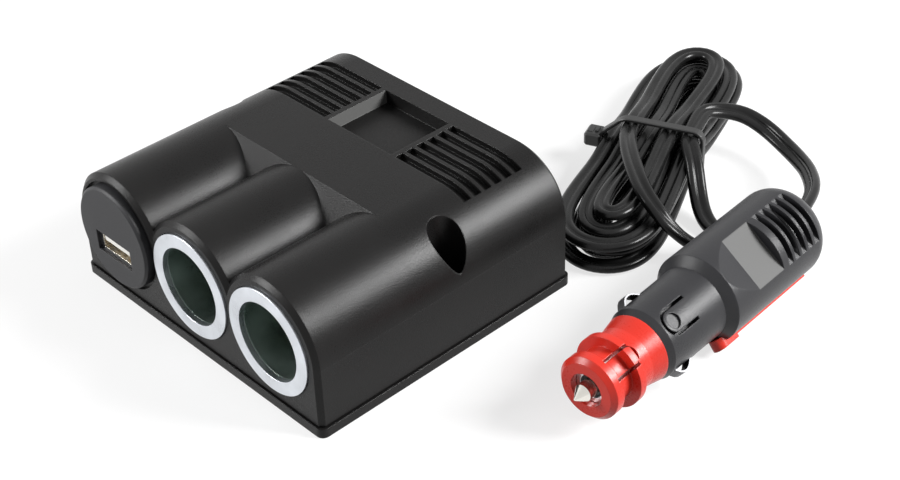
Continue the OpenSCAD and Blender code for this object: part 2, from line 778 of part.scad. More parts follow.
// Loops of the hank: a long oval drawn in at its waist. One turn adds 1 to the
// count; the loops spiral in for two turns, each shorter than the last, climb
// a layer along a run and spiral out again
function hank_angle(c) = 180 + 360 * c;
function hank_inset(c) = let (m = c % (2 * hank_run)) loop_step * min(m, 2 * hank_run - m);
function ease(t) = let (s = min(max(t, 0), 1)) s * s * (3 - 2 * s);
function climb(c, k) = ease(2 * (c - k * hank_run) + 0.5);
function hank_layer(c) = climb(c, 1) + climb(c, 2) + climb(c, 3);
function hank_flat(c) =
    let (a = hank_angle(c),
         half = hank_half - hank_spread * hank_inset(c),
         bulge = hank_bulge * sin(a) * sin(a),
         swell = 2 * hank_bulge * sin(a) * cos(a),
         at = [cos(a) * (hank_waist + bulge), half * sin(a)],
         way = unit([swell * cos(a) - sin(a) * (hank_waist + bulge), half * cos(a)]))
    at + hank_inset(c) * [-way[1], way[0]];
function hank_raise(y) = let (s = max(0, 1 - (y / hank_lift_half) * (y / hank_lift_half)))
    hank_lift * s * s;
function hank_place(f, z) = [hank_x + f[0] * cos(hank_turn) - f[1] * sin(hank_turn),
                             hank_y + f[0] * sin(hank_turn) + f[1] * cos(hank_turn), z];
function hank_point(c) = let (f = hank_flat(c))
    hank_place(f, hank_z + layer_step * hank_layer(c) + hank_raise(f[1]));
hank_top = hank_z + (hank_layers - 1) * layer_step;
hank_steps = round((hank_stop - hank_start) * hank_rings);
hank_turns = [for (k = [0 : hank_steps])
    hank_point(hank_start + (hank_stop - hank_start) * k / hank_steps)];
stray = smooth_route(concat([hank_turns[hank_steps]],
                            [for (p = concat(stray_mid, [stray_end])) hank_place(p, p[2] * hank_top)]), 2);
hank_curve = concat(hank_turns, [for (k = [1 : len(stray) - 1]) stray[k]]);
hank_final = len(hank_curve) - 1;
function level(v) = unit([v[0], v[1], 0]);
hank_in = level(hank_curve[1] - hank_curve[0]);
hank_out = level(hank_curve[hank_final] - hank_curve[hank_final - 1]);
hank_first = hank_curve[0] - cord_w * hank_in;
hank_last = hank_curve[hank_final] + cord_w * hank_out;
hank_route = concat([hank_first], hank_curve, [hank_last]);
hank_section = flat_section(cord_w, cord_t);

// Least distance between rings that lie at least half a turn apart
hank_gap = let (t = tube_points(hank_route, level_sides(hank_route), hank_section), n = len(hank_section))
    min([for (i = [0 : len(hank_route) - 1], j = [i + hank_rings / 2 : 1 : len(hank_route) - 1])
        if (norm(hank_route[i] - hank_route[j]) < 2 * cord_w)
            for (a = [0 : n - 1], b = [0 : n - 1]) norm(t[i * n + a] - t[j * n + b])]);
echo(least_gap_of_the_hank = hank_gap);

function plug_axis_point(u) = [plug_x + u * cos(plug_turn), plug_y + u * sin(plug_turn), plug_axis_z];
lead_straight = 4;
lead_out_route = concat([[0, grommet_end, outlet_z], [0, grommet_end + lead_straight, outlet_z]],
                        lead_out_mid, [hank_first - lead_straight * hank_in, hank_first]);
lead_plug_route = concat([hank_last, hank_last + lead_straight * hank_out], lead_plug_mid,
                         [plug_axis_point(handle_end + lead_straight),
                          plug_axis_point(handle_end - tail_wall + over)]);

// Lead with straight ends and a smooth curve between them
module lead(route) {
    n = len(route);
    inner = [for (k = [1 : n - 2]) route[k]];
    p = concat([route[0]], smooth_route(inner, lead_steps), [route[n - 1]]);
    swept(p, level_sides(p), oval_section(cord_w / 2, cord_t / 2, lead_sides));
}

module cord_lead_out() color(black) lead(lead_out_route);
module cord_hank() color(black) swept(hank_route, level_sides(hank_route), hank_section);
module cord_lead_plug() color(black) lead(lead_plug_route);

// Cable tie round the hank's waist, with its head on the left
tie_half = hank_waist + cord_w / 2 + tie_gap;
tie_low = hank_lift - 2 * tie_gap;
tie_top = hank_top + hank_lift + cord_t / 2 + tie_gap;
tie_corner = 2.6;
tie_at = -2;
tie_head_drop = 5;

module cable_tie() color(black) translate([hank_x, hank_y, 0]) rotate([0, 0, hank_turn]) {
    translate([0, tie_at + tie_w / 2, 0]) rotate([90, 0, 0]) linear_extrude(tie_w) difference() {
        round_rect(-tie_half, tie_low, tie_half, tie_top, tie_corner, tie_t);
        round_rect(-tie_half, tie_low, tie_half, tie_top, tie_corner, 0);
    }
    translate([-tie_half - tie_head[0], tie_at - tie_head[1] / 2, tie_top - tie_head_drop - tie_head[2]])
        cube(tie_head);
}

// Rectangle with round corners, drawn d outside its sides
module round_rect(x0, y0, x1, y1, r, d) {
    translate([x0 + r, y0 - d]) square([x1 - x0 - 2 * r, y1 - y0 + 2 * d]);
    translate([x0 - d, y0 + r]) square([x1 - x0 + 2 * d, y1 - y0 - 2 * r]);
    for (x = [x0 + r, x1 - r], y = [y0 + r, y1 - r]) translate([x, y]) circle(r + d);
}

// Places a piece that is drawn along X from the pin's tip, with the label up
module plug_place() translate([plug_x, plug_y, plug_axis_z]) rotate([0, 0, plug_turn])
    rotate([plug_roll, 0, 0]) children();

// Turns a profile of radius and place about the plug's axis
module turned() rotate([0, 90, 0]) rotate_extrude() children();

// Cylinder along the plug's axis
module rod(u, len, r) translate([u, 0, 0]) rotate([0, 90, 0]) cylinder(h = len, r = r);

// Narrow U-shaped slot that frees a spring tongue; the round end lies at u + len
module tongue_cut(u, len, w, inner_r, outer_r)
    translate([u, 0, inner_r]) linear_extrude(outer_r - inner_r) difference() {
        tongue_shape(len, w / 2 + tongue_slot);
        translate([-over, 0]) tongue_shape(len + over - tongue_slot, w / 2);
    }

module tongue_shape(len, half) {
    translate([0, -half]) square([len - half, 2 * half]);
    translate([len - half, 0]) circle(half);
}

// Outer form of the plug's neck and handle
module plug_outside() turned() {
    polygon([[0, neck_front], [neck_r - neck_bevel / 2, neck_front], [neck_r, neck_front + neck_bevel],
             [neck_rear_r, handle_front + handle_edge / 2], [0, handle_front + handle_edge / 2]]);
    polygon([[0, handle_front], [handle_r - handle_edge, handle_front],
             [handle_r, handle_front + handle_edge], [handle_r, handle_end - tail_round],
             [handle_r - tail_round, handle_end], [0, handle_end]]);
    translate([handle_r - tail_round, handle_end - tail_round]) circle(tail_round);
}

// Flat label pad with a ramp in front of it and finger grooves behind it
pad_z = sqrt(handle_r * handle_r - pad_w * pad_w / 4);
pad_u = handle_front + pad_start;

module plug_pad_cuts() {
    translate([0, handle_r, 0]) rotate([90, 0, 0]) linear_extrude(2 * handle_r)
        polygon([[handle_front + handle_edge, handle_r], [pad_u, pad_z], [pad_u + pad_len, pad_z],
                 [pad_u + pad_len, handle_r + over], [handle_front + handle_edge, handle_r + over]]);
    for (k = [0 : rib_count - 1])
        translate([handle_front + rib_start + k * rib_pitch - rib_w / 2, -handle_r, pad_z - rib_sunk])
            cube([rib_w, 2 * handle_r, handle_r]);
}

// Room inside the plug: nose, fuse space and the windows of the side contacts
module plug_inside() {
    rod(neck_front - over, nose_rear - neck_front + 2 * over, nose_r + nose_seam);
    rod(nose_rear, handle_end - tail_wall - nose_rear, cavity_r);
    rod(handle_end - tail_wall - over, tail_wall + 2 * over, cord_w / 2 + gap);
    for (side = [-1, 1]) {
        window(side, contact_u, contact_span, nose_r, neck_r + over);
        window(side, contact_u - contact_lip, contact_span + 2 * contact_lip, nose_r, contact_seat_r);
    }
}

module window(side, u, len, r0, r1)
    translate([u, side > 0 ? r0 : -r1, -contact_w / 2 - gap]) cube([len, r1 - r0, contact_w + 2 * gap]);

module plug_boss(u, z0, z1) translate([u, 0, z0]) cylinder(h = z1 - z0, r = plug_boss_r);

// Groove of the red slider along the handle
module slider_groove() rotate([slider_angle, 0, 0])
    translate([slider_start - slider_travel, -slider_w / 2 - gap, handle_r - slider_t - 2 * gap])
        cube([slider_end - slider_start + slider_travel + gap, slider_w + 2 * gap,
              slider_t + 2 * gap + over]);

module plug_shell_upper() color([0.28, 0.28, 0.29]) plug_place() difference() {
    intersection() {
        union() {
            difference() {
                plug_outside();
                plug_inside();
            }
            for (u = plug_screw_u) plug_boss(u, 0, cavity_r + wall / 2);
        }
        translate([0, -handle_r - over, 0])
            cube([handle_end + over, 2 * handle_r + 2 * over, handle_r + over]);
    }
    plug_pad_cuts();
    translate([tongue_u + tongue_len, 0, 0]) mirror([1, 0, 0])
        tongue_cut(0, tongue_len, tongue_w, nose_r, handle_r);
    // Round dent in the tongue's end
    translate([tongue_u + tongue_slot + tongue_w / 2, 0, neck_r - tongue_dent])
        cylinder(h = tongue_dent + over, r = tongue_w * tongue_dent_share);
    for (u = plug_screw_u) translate([u, 0, -over])
        cylinder(h = plug_screw_top + 2 * over, r = plug_screw_r + gap);
}

module plug_shell_lower() color([0.28, 0.28, 0.29]) plug_place() difference() {
    intersection() {
        union() {
            difference() {
                plug_outside();
                plug_inside();
            }
            for (u = plug_screw_u) plug_boss(u, -cavity_r - wall / 2, 0);
        }
        translate([0, -handle_r - over, -handle_r - over])
            cube([handle_end + over, 2 * handle_r + 2 * over, handle_r + over]);
    }
    slider_groove();
    for (u = plug_screw_u) {
        translate([u, 0, -handle_r - over]) cylinder(h = 2 * handle_r, r = plug_screw_r + gap);
        translate([u, 0, -handle_r - over])
            cylinder(h = over + plug_head_sunk + plug_screw_head_t, r = plug_screw_head_r + gap);
    }
}

module plug_screws() color(steel) plug_place() for (u = plug_screw_u) difference() {
    union() {
        translate([u, 0, -handle_r + plug_head_sunk])
            cylinder(h = plug_screw_head_t, r = plug_screw_head_r);
        translate([u, 0, -handle_r + plug_head_sunk])
            cylinder(h = handle_r - plug_head_sunk + plug_screw_top, r = plug_screw_r);
    }
    translate([u, 0, -handle_r + plug_head_sunk])
        cube([plug_screw_head_r, plug_screw_r / 2, plug_screw_head_t], center = true);
}

// Red ring that fills the nose out to the size of a lighter socket
module adapter_ring() color(red) plug_place() difference() {
    turned() polygon([[ring_mouth_r, ring_front], [ring_flange_r - edge_bevel, ring_front],
                      [ring_flange_r, ring_front + edge_bevel], [ring_flange_r, ring_front + ring_flange],
                      [ring_hub_r, ring_front + ring_flange], [ring_hub_r, ring_rim_u],
                      [ring_rim_r, ring_rim_u], [ring_rim_r, ring_rim_u + ring_rim],
                      [ring_step_r, ring_rim_u + ring_rim + edge_bevel / 2],
                      [ring_step_r, ring_cone_u], [ring_cone_r, ring_cone_u + ring_cone],
                      [nose_r + nose_seam, ring_cone_u + ring_cone],
                      [nose_r + nose_seam, ring_front + ring_wall],
                      [ring_mouth_r, ring_front + ring_wall]]);
    tongue_cut(ring_front + ring_tongue_start, ring_tongue_len, ring_tongue_w, nose_r / 2, handle_r);
}

// Bright inner nose that stays when the red ring is pulled off
module nose_sleeve() color(steel) plug_place() difference() {
    union() {
        rod(nose_front, nose_rear - nose_front + nose_flange_t, nose_r);
        rod(nose_rear, nose_flange_t, nose_r + nose_flange);
    }
    rod(nose_front - over, nose_rear - nose_front + nose_flange_t + 2 * over, nose_lip_r);
    rod(nose_front + nose_t, nose_rear - nose_front + nose_flange_t + over, nose_bore);
}

module nose_insulator() color(black) plug_place() difference() {
    rod(bush_front, bush_len, nose_bore - nose_seam);
    rod(bush_front - over, bush_len + 2 * over, pin_r + nose_seam);
}

// Sprung pin with a pointed end, a collar and a tail inside the spring
module centre_pin() color([0.86, 0.84, 0.78]) plug_place()
    turned() polygon([[0, 0], [pin_tip_r, 0], [pin_r, pin_cone], [pin_r, pin_collar_u],
                      [pin_collar_r, pin_collar_u], [pin_collar_r, pin_collar_u + pin_collar_t],
                      [pin_tail_r, pin_collar_u + pin_collar_t], [pin_tail_r, pin_end], [0, pin_end]]);

// Coil spring between the pin's collar and the fuse
spring_u = pin_collar_u + pin_collar_t + spring_wire / 2 + gap / 2;
spring_len = fuse_front - spring_u - spring_wire / 2 - gap / 2;
spring_mean = spring_r - spring_wire / 2;
spring_rings = 8;
spring_steps = spring_turns * spring_rings;
spring_side = [for (k = [0 : spring_steps]) let (a = 360 * k / spring_rings) [0, cos(a), sin(a)]];
spring_at = [for (k = [0 : spring_steps])
    [spring_u + spring_len * k / spring_steps, 0, 0] + spring_mean * spring_side[k]];

module pin_spring() color(steel) plug_place()
    swept(spring_at, spring_side, oval_section(spring_wire / 2, spring_wire / 2, 6));

module fuse() color([0.85, 0.88, 0.9]) plug_place() {
    rod(fuse_front, fuse_len, fuse_r);
    rod(fuse_front, fuse_cap_len, fuse_cap_r);
    rod(fuse_front + fuse_len - fuse_cap_len, fuse_cap_len, fuse_cap_r);
}

// Brass cup and plate behind the fuse
module fuse_clip() color(brassy) plug_place() {
    difference() {
        rod(fuse_front + fuse_len - clip_len, clip_len + clip_t, fuse_cap_r + gap + clip_t);
        rod(fuse_front + fuse_len - clip_len - over, clip_len + over, fuse_cap_r + gap);
    }
    difference() {
        rod(fuse_front + fuse_len, clip_t, cavity_r - nose_seam);
        for (side = [-1, 1]) translate([fuse_front + fuse_len - over, side * cavity_r, 0])
            cube([2 * over + clip_t, cavity_r, cavity_r], center = true);
    }
}

// Bent spring strip that stands out of the neck through its window
module side_contact(side) color([0.4, 0.4, 0.41]) plug_place() mirror([0, side > 0 ? 0 : 1, 0])
    translate([0, 0, -contact_w / 2]) linear_extrude(contact_w) contact_strip();

module contact_strip() {
    u0 = contact_u - contact_lip + gap;
    u1 = contact_u + gap;
    u2 = contact_u + contact_span - gap;
    u3 = contact_u + contact_span + contact_lip - gap;
    low = contact_seat_r - gap - contact_sheet;
    rise = neck_r + contact_peak - contact_sheet - low;
    bow = [for (k = [1 : contact_bows - 1]) let (t = k / contact_bows)
        [u1 + (u2 - u1) * t, low + rise * sin(180 * pow(t, contact_skew))]];
    outer = concat([[u0, low + contact_sheet], [u1, low + contact_sheet]],
                   [for (p = bow) [p[0] + (p[0] - (u1 + u2) / 2) * contact_sheet / contact_span,
                                   p[1] + contact_sheet]],
                   [[u2, low + contact_sheet], [u3, low + contact_sheet]]);
    inner = concat([[u3, low], [u2 - contact_sheet, low]],
                   [for (k = [len(bow) - 1 : -1 : 0]) bow[k]],
                   [[u1 + contact_sheet, low], [u0, low]]);
    polygon(concat(outer, inner));
}

module side_contact_upper() side_contact(1);
module side_contact_lower() side_contact(-1);

// Red slider with a nub in front of the handle's shoulder
module release_slider() color(red) plug_place() intersection() {
    rotate([slider_angle, 0, 0]) slider_strip(slider_end, handle_r + nub_proud + over);
    union() {
        rod(slider_start - over, nub_len + over, handle_r + nub_proud);
        rod(slider_start, slider_end - slider_start + over, handle_r + slider_proud);
    }
}

// Strip with a round front end, up to the radius r
module slider_strip(end, r) {
    low = handle_r - slider_t - gap;
    translate([slider_start + slider_w / 2, -slider_w / 2, low])
        cube([end - slider_start - slider_w / 2, slider_w, r - low]);
    translate([slider_start + slider_w / 2, 0, low]) cylinder(h = r - low, r = slider_w / 2);
}

housing_shell();
base_plate();
base_screws();
socket_ring_middle();
socket_ring_right();
socket_sleeve_middle();
socket_sleeve_right();
socket_insulator_middle();
socket_insulator_right();
socket_contact_middle();
socket_contact_right();
positive_bar();
negative_bar();
usb_panel();
usb_shell();
usb_tongue();
usb_contacts();
usb_board();
usb_parts();
core_wires();
cable_grommet();
cord_lead_out();
cord_hank();
cord_lead_plug();
cable_tie();
plug_shell_upper();
plug_shell_lower();
plug_screws();
adapter_ring();
nose_sleeve();
nose_insulator();
centre_pin();
pin_spring();
fuse();
fuse_clip();
side_contact_upper();
side_contact_lower();
release_slider();
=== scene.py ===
# %% [markdown]
# # Twelve-volt extension socket
# A moulded black box with two lighter-style sockets and a USB port, a hank of
# flat twin cord, and a plug with a red adapter ring. The exact solids come
# ready made from the CAD model; this lesson adds what a solid model leaves
# out: the cord as one supple piece, softened edges, and a finish for every
# surface. Lengths of the object are millimetres, turned into metres by MM
# where they meet the scene; the floor and the lamps are given in metres.

# %% Load the CAD model as a fixed frame
import json
import math

import bmesh
import bpy
from mathutils import Matrix, Vector


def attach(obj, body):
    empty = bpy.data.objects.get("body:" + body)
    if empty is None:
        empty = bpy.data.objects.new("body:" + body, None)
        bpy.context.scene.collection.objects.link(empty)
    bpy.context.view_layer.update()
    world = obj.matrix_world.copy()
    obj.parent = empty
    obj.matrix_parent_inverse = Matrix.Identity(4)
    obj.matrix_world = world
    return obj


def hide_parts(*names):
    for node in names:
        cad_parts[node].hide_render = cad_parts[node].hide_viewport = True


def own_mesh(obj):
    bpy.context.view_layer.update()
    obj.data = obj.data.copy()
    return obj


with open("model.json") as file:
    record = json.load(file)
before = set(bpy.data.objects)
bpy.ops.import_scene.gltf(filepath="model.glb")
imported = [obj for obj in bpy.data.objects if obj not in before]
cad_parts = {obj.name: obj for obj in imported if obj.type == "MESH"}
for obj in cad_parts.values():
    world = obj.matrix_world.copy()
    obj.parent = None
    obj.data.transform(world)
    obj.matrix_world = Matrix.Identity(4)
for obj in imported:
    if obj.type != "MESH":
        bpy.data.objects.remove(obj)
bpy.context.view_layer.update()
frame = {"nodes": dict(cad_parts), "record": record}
MM = 0.001
nodes = frame["nodes"]
scene = bpy.context.scene

# %% [markdown]
# ## Camera
# The photograph was taken from the front right, above the object. The camera
# below was worked out from the sockets' rings and the base plate's corners:
# a place and three directions set it up, and a lens of about 70 mm gives the
# same mild perspective.

# %% Place the camera
EYE = Vector((292.885, -223.261, 277.154)) * MM
RIGHT = Vector((0.69086, 0.72233, -0.03088))
UP = Vector((-0.40805, 0.42482, 0.80810))
BACK = Vector((0.59683, -0.54569, 0.58823))
# Focal length and picture width in pixels, and the sensor's width in millimetres
LENS_PX = 1764.8
PHOTO_W = 900
SENSOR = 36.0

camera_data = bpy.data.cameras.new("camera")
camera_data.sensor_width = SENSOR
camera_data.lens = LENS_PX * SENSOR / PHOTO_W
camera_data.clip_start = 0.01
camera_data.clip_end = 10
camera = bpy.data.objects.new("camera", camera_data)
scene.collection.objects.link(camera)
turn = Matrix((RIGHT, UP, BACK)).transposed()
camera.matrix_world = Matrix.Translation(EYE) @ turn.to_4x4()
scene.camera = camera
print(f"lens {camera_data.lens:.1f} mm")

# %% [markdown]
# ## The cord's route
# The real cord is a flat twin lead. It leaves the box through a grommet, lies
# down, runs four layers of loops as a hank, and goes on to the plug. A route
# is only a list of points, so it is written as plain Python: a few given
# points for the free leads, and a rule for the loops, an oval that is drawn
# in at its waist. The numbers are the CAD model's own, so the visible cord
# lies where the solid one does, only smoother.

# %% Sizes of the cord and the hank
CORD_W, CORD_T = 5.0, 2.6
# From loop to loop beside each other, and from layer to layer
LOOP_STEP, LAYER_STEP = 5.5, 3.4
# The hank's middle, and its turn seen from above
HANK_AT = Vector((27.8, 98.5, CORD_T / 2))
HANK_TURN = math.radians(23)
# Half length, half width at the waist, and what the ends bulge beyond it
HANK_HALF, HANK_WAIST, HANK_BULGE = 53.5, 12.4, 13.0
# Loops in a layer, layers, and the share of their inset that shortens inner loops
HANK_RUN, HANK_LAYERS, HANK_SPREAD = 2, 4, 0.15
# First and last turn of the hank
HANK_START, HANK_STOP = 0.17, 7.0
# How high the strands rise over the waist, and how far to either side of it
HANK_LIFT, HANK_LIFT_HALF = 1.7, 16.0
# Rings to a turn, in the CAD model and here
CAD_RINGS, LOOP_RINGS = 28, 96
# The leads start and end with a straight stretch
LEAD_STRAIGHT = 4.0
# The grommet's outer end, the tip of the plug's pin, and how the plug lies
OUTLET = Vector((0, 48.75, 12))
PLUG_AT = Vector((88.85, -0.45, 12.2))
PLUG_TURN, PLUG_ROLL = math.radians(94.65), math.radians(37)
# The handle's end, measured behind the pin's tip, and the thickness of its tail wall
HANDLE_END, TAIL_WALL = 89.05, 6.0
# How far the cord goes on inside the grommet, and short of the handle's tail wall
INTO_GROMMET, INTO_HANDLE = 3.0, 1.0
# Points that the two leads pass
LEAD_OUT = [(1, 57.5, 10.6), (5, 61.8, 7.6), (11, 63.8, 4.6), (17.5, 63.3, 2.5),
            (23.5, 61.2, 1.5)]
LEAD_PLUG = [(34, 118, 12.2), (39, 122.5, 11), (46, 124, 8.8), (53.5, 122.5, 7.4),
             (60.8, 119.2, 7.6), (68.7, 113.3, 9.4), (76.4, 104.3, 11.4)]
# The last pass strays out to the plug: places beside the hank's middle, and
# shares of the hank's height
STRAY = [(-6.6, -5, 1.14), (-4.9, -11, 1.22), (-1.9, -18, 1.28), (2.3, -26, 1.3),
         (7.4, -33.6, 1.24), (12.6, -38, 1.05), (16.8, -39, 0.75), (20.8, -38.2, 0.44),
         (25.2, -36.9, 0.2), (29.4, -36.6, 0.125), (32, -33.6, 0.125), (31.6, -29.6, 0.125),
         (28.4, -27.4, 0.125), (24.2, -25.8, 0.14), (20.2, -21.8, 0.24), (17, -16.4, 0.52),
         (14, -10.6, 0.93), (11.2, -5.8, 1.12), (9.9, -1.5, 1.13), (9.7, 3.4, 1.13)]
print(f"twin cord {CORD_W} x {CORD_T} mm, {HANK_STOP - HANK_START:.2f} turns in the hank")


# %% The rule of the loops
def ease(t):
    """0 below 0, 1 above 1, and a smooth step between them."""
    s = min(max(t, 0.0), 1.0)
    return s * s * (3 - 2 * s)


def beside_hank(x, y, z):
    """A place in the hank's own turned frame, z above the floor."""
    c, s = math.cos(HANK_TURN), math.sin(HANK_TURN)
    return Vector((HANK_AT.x + x * c - y * s, HANK_AT.y + x * s + y * c, z))


def loop_point(turns):
    """Where the cord is after that many turns of the hank."""
    a = math.pi + 2 * math.pi * turns
    m = turns % (2 * HANK_RUN)
    inset = LOOP_STEP * min(m, 2 * HANK_RUN - m)
    half = HANK_HALF - HANK_SPREAD * inset
    swell = HANK_WAIST + HANK_BULGE * math.sin(a) ** 2
    at = Vector((math.cos(a) * swell, half * math.sin(a)))
    way = Vector((2 * HANK_BULGE * math.sin(a) * math.cos(a) ** 2 - math.sin(a) * swell,
                  half * math.cos(a))).normalized()
    at += inset * Vector((-way.y, way.x))
    layer = sum(ease(2 * (turns - k * HANK_RUN) + 0.5) for k in range(1, HANK_LAYERS))
    hump = max(0.0, 1 - (at.y / HANK_LIFT_HALF) ** 2)
    return beside_hank(at.x, at.y, HANK_AT.z + LAYER_STEP * layer + HANK_LIFT * hump * hump)


def plug_point(u):
    """A point on the plug's axis, u behind the tip of its pin."""
    return PLUG_AT + u * Vector((math.cos(PLUG_TURN), math.sin(PLUG_TURN), 0))


print("the hank starts at", tuple(round(x, 1) for x in loop_point(HANK_START)))


# %% Join the leads and the loops into one route
def through(points, steps):
    """A smooth curve through given points, with that many steps between two of them."""
    out = []
    for k in range(len(points) - 1):
        a, b, c, d = (points[min(max(k + j, 0), len(points) - 1)] for j in (-1, 0, 1, 2))
        for n in range(steps):
            t = n / steps
            out.append(0.5 * (2 * b + (c - a) * t + (2 * a - 5 * b + 4 * c - d) * t * t
                              + (3 * b - a - 3 * c + d) * t ** 3))
    return out + [points[-1]]


def level(v):
    """The direction of v, seen from above."""
    return Vector((v.x, v.y, 0)).normalized()


# Steps between two given points, in the CAD model and here
CAD_CURVE_STEPS, CURVE_STEPS = 2, 6

cad_steps = round((HANK_STOP - HANK_START) * CAD_RINGS)
cad_step = (HANK_STOP - HANK_START) / cad_steps
first, second = loop_point(HANK_START), loop_point(HANK_START + cad_step)
hank_top = HANK_AT.z + (HANK_LAYERS - 1) * LAYER_STEP
stray_at = [loop_point(HANK_STOP)] + [beside_hank(x, y, share * hank_top) for x, y, share in STRAY]
before, last = through(stray_at, CAD_CURVE_STEPS)[-2:]
hank_in, hank_out = level(second - first), level(last - before)
hank_first, hank_last = first - CORD_W * hank_in, last + CORD_W * hank_out

loop_steps = round((HANK_STOP - HANK_START) * LOOP_RINGS)
loops = [loop_point(HANK_START + (HANK_STOP - HANK_START) * k / loop_steps)
         for k in range(loop_steps + 1)]
lead_out = through([OUTLET + Vector((0, LEAD_STRAIGHT, 0))] + [Vector(p) for p in LEAD_OUT]
                   + [hank_first - LEAD_STRAIGHT * hank_in], CURVE_STEPS)
lead_plug = through([hank_last + LEAD_STRAIGHT * hank_out] + [Vector(p) for p in LEAD_PLUG]
                    + [plug_point(HANDLE_END + LEAD_STRAIGHT)], CURVE_STEPS)
raw_route = ([OUTLET - Vector((0, INTO_GROMMET, 0)), OUTLET] + lead_out + [hank_first] + loops
             + through(stray_at, CURVE_STEPS)[1:] + [hank_last] + lead_plug
             + [plug_point(HANDLE_END - TAIL_WALL + INTO_HANDLE)])
print("raw route:", len(raw_route), "points")


# %% Space the points evenly and smooth the joints between the stretches
ROUTE_STEP, ROUTE_ROUNDS = 1.5, 3


def evenly(points, step):
    """Points at an even distance along the same line."""
    at = [0.0]
    for p, q in zip(points, points[1:]):
        at.append(at[-1] + (q - p).length)
    count = round(at[-1] / step)
    out, k = [], 0
    for n in range(count + 1):
        want = at[-1] * n / count
        while k < len(at) - 2 and at[k + 1] < want:
            k += 1
        t = (want - at[k]) / (at[k + 1] - at[k])
        out.append(points[k].lerp(points[k + 1], min(max(t, 0), 1)))
    return out


def relaxed(points, rounds):
    """Each inner point moves half-way to the middle of its neighbours, a few times."""
    for _ in range(rounds):
        points = ([points[0]] + [(points[k - 1] + 2 * points[k] + points[k + 1]) / 4
                                 for k in range(1, len(points) - 1)] + [points[-1]])
    return points


route = evenly(relaxed(evenly(raw_route, ROUTE_STEP), ROUTE_ROUNDS), ROUTE_STEP)
cord_length = sum((q - p).length for p, q in zip(route, route[1:]))
print(f"cord: {len(route)} rings, {cord_length:.0f} mm long")

# Rings from one point of a bend's circle to the next
BEND_REACH = 4


def bend(k):
    """Radius of the circle through three points of the route, some rings apart."""
    a, b, c = route[k - BEND_REACH], route[k], route[k + BEND_REACH]
    area = (b - a).cross(c - a).length
    return (b - a).length * (c - b).length * (c - a).length / max(2 * area, 1e-6)


tight = min(range(BEND_REACH, len(route) - BEND_REACH), key=bend)
print(f"tightest bend {bend(tight):.1f} mm at {tuple(round(x, 1) for x in route[tight])}")

# %% [markdown]
# ## The cord as a mesh
# A flat twin lead looks like two round cores side by side with a groove
# between them. That section is swept along the route. A Blender curve could
# carry a bevel object, but a hand-made sweep keeps the flat side level, as a
# cord that is wound on a table lies, and lets it roll a little from side to
# side so that the loops don't look machined.

# %% Sweep the twin section along the route
LOBE = CORD_T / 2
LOBE_AT = CORD_W / 2 - LOBE
# Points round a lobe, and the degrees they reach to either side
LOBE_POINTS, LOBE_REACH = 9, 126
# Half the thickness of the web in the groove
WEB = 0.62
# Corners of a mesh that lie closer than this, in metres, are one
SAME = 1e-7


def twin_section():
    """The outline of the cord across its run, right lobe first."""
    out = []
    for side in (1, -1):
        for k in range(LOBE_POINTS):
            a = math.radians(LOBE_REACH * (2 * k / (LOBE_POINTS - 1) - 1))
            out.append((side * (LOBE_AT + LOBE * math.cos(a)), side * LOBE * math.sin(a)))
        out.append((0.0, side * WEB))
    return out


def sweep(name, points, section, roll):
    """A closed tube with that section; roll turns the section at each point."""
    verts, faces, n = [], [], len(section)
    for k, p in enumerate(points):
        ahead = (points[min(k + 1, len(points) - 1)] - points[max(k - 1, 0)]).normalized()
        side = ahead.cross(Vector((0, 0, 1))).normalized()
        up = side.cross(ahead)
        c, s = math.cos(roll(k)), math.sin(roll(k))
        ring = [p + (x * c - y * s) * side + (x * s + y * c) * up for x, y in section]
        # A ring that would dip below the floor is lifted on to it
        sunk = min(0.0, min(v.z for v in ring))
        verts += [(v - Vector((0, 0, sunk))) * MM for v in ring]
    for k in range(len(points) - 1):
        for j in range(n):
            a, b = k * n + j, k * n + (j + 1) % n
            faces.append((a, b, b + n, a + n))
    faces.append(tuple(range(n))[::-1])
    faces.append(tuple(range(len(verts) - n, len(verts))))
    mesh = bpy.data.meshes.new(name)
    mesh.from_pydata(verts, [], faces)
    mesh.polygons.foreach_set("use_smooth", [True] * len(faces))
    face_outwards(mesh)
    return as_piece(name, mesh)


def face_outwards(mesh):
    """Merges doubled corners and turns every face of a closed shell outwards."""
    bm = bmesh.new()
    bm.from_mesh(mesh)
    bmesh.ops.remove_doubles(bm, verts=bm.verts, dist=SAME)
    bmesh.ops.recalc_face_normals(bm, faces=bm.faces)
    bm.to_mesh(mesh)
    bm.free()


def as_piece(name, data):
    """A new object at the origin that shows a mesh or a lamp."""
    made = bpy.data.objects.new(name, data)
    scene.collection.objects.link(made)
    return made


# %% A little roll, so that no loop is like another
ROLL_WANDER, ROLL_ON_EDGE = math.radians(6), math.radians(50)
# Two waves along the cord, each as millimetres to a radian, share and start
ROLL_WAVES = ((23.0, 1.0, 0.0), (9.7, 0.6, 1.3))
# The wander fades over this length at both ends; the turn on edge begins so far before the end
ROLL_FADE, ROLL_BEFORE_END = 60, 95


def cord_roll(k):
    """A few degrees of roll that come and go; the last stretch stands on its edge."""
    x = k * ROUTE_STEP
    fade = min(1.0, x / ROLL_FADE, (cord_length - x) / ROLL_FADE)
    wander = sum(share * math.sin(x / length + start) for length, share, start in ROLL_WAVES)
    on_edge = ease((x - cord_length + ROLL_BEFORE_END) / ROLL_FADE)
    return ROLL_WANDER * fade * wander - ROLL_ON_EDGE * on_edge


cord = sweep("twin_cord", route, twin_section(), cord_roll)
print("cord mesh:", len(cord.data.polygons), "faces")
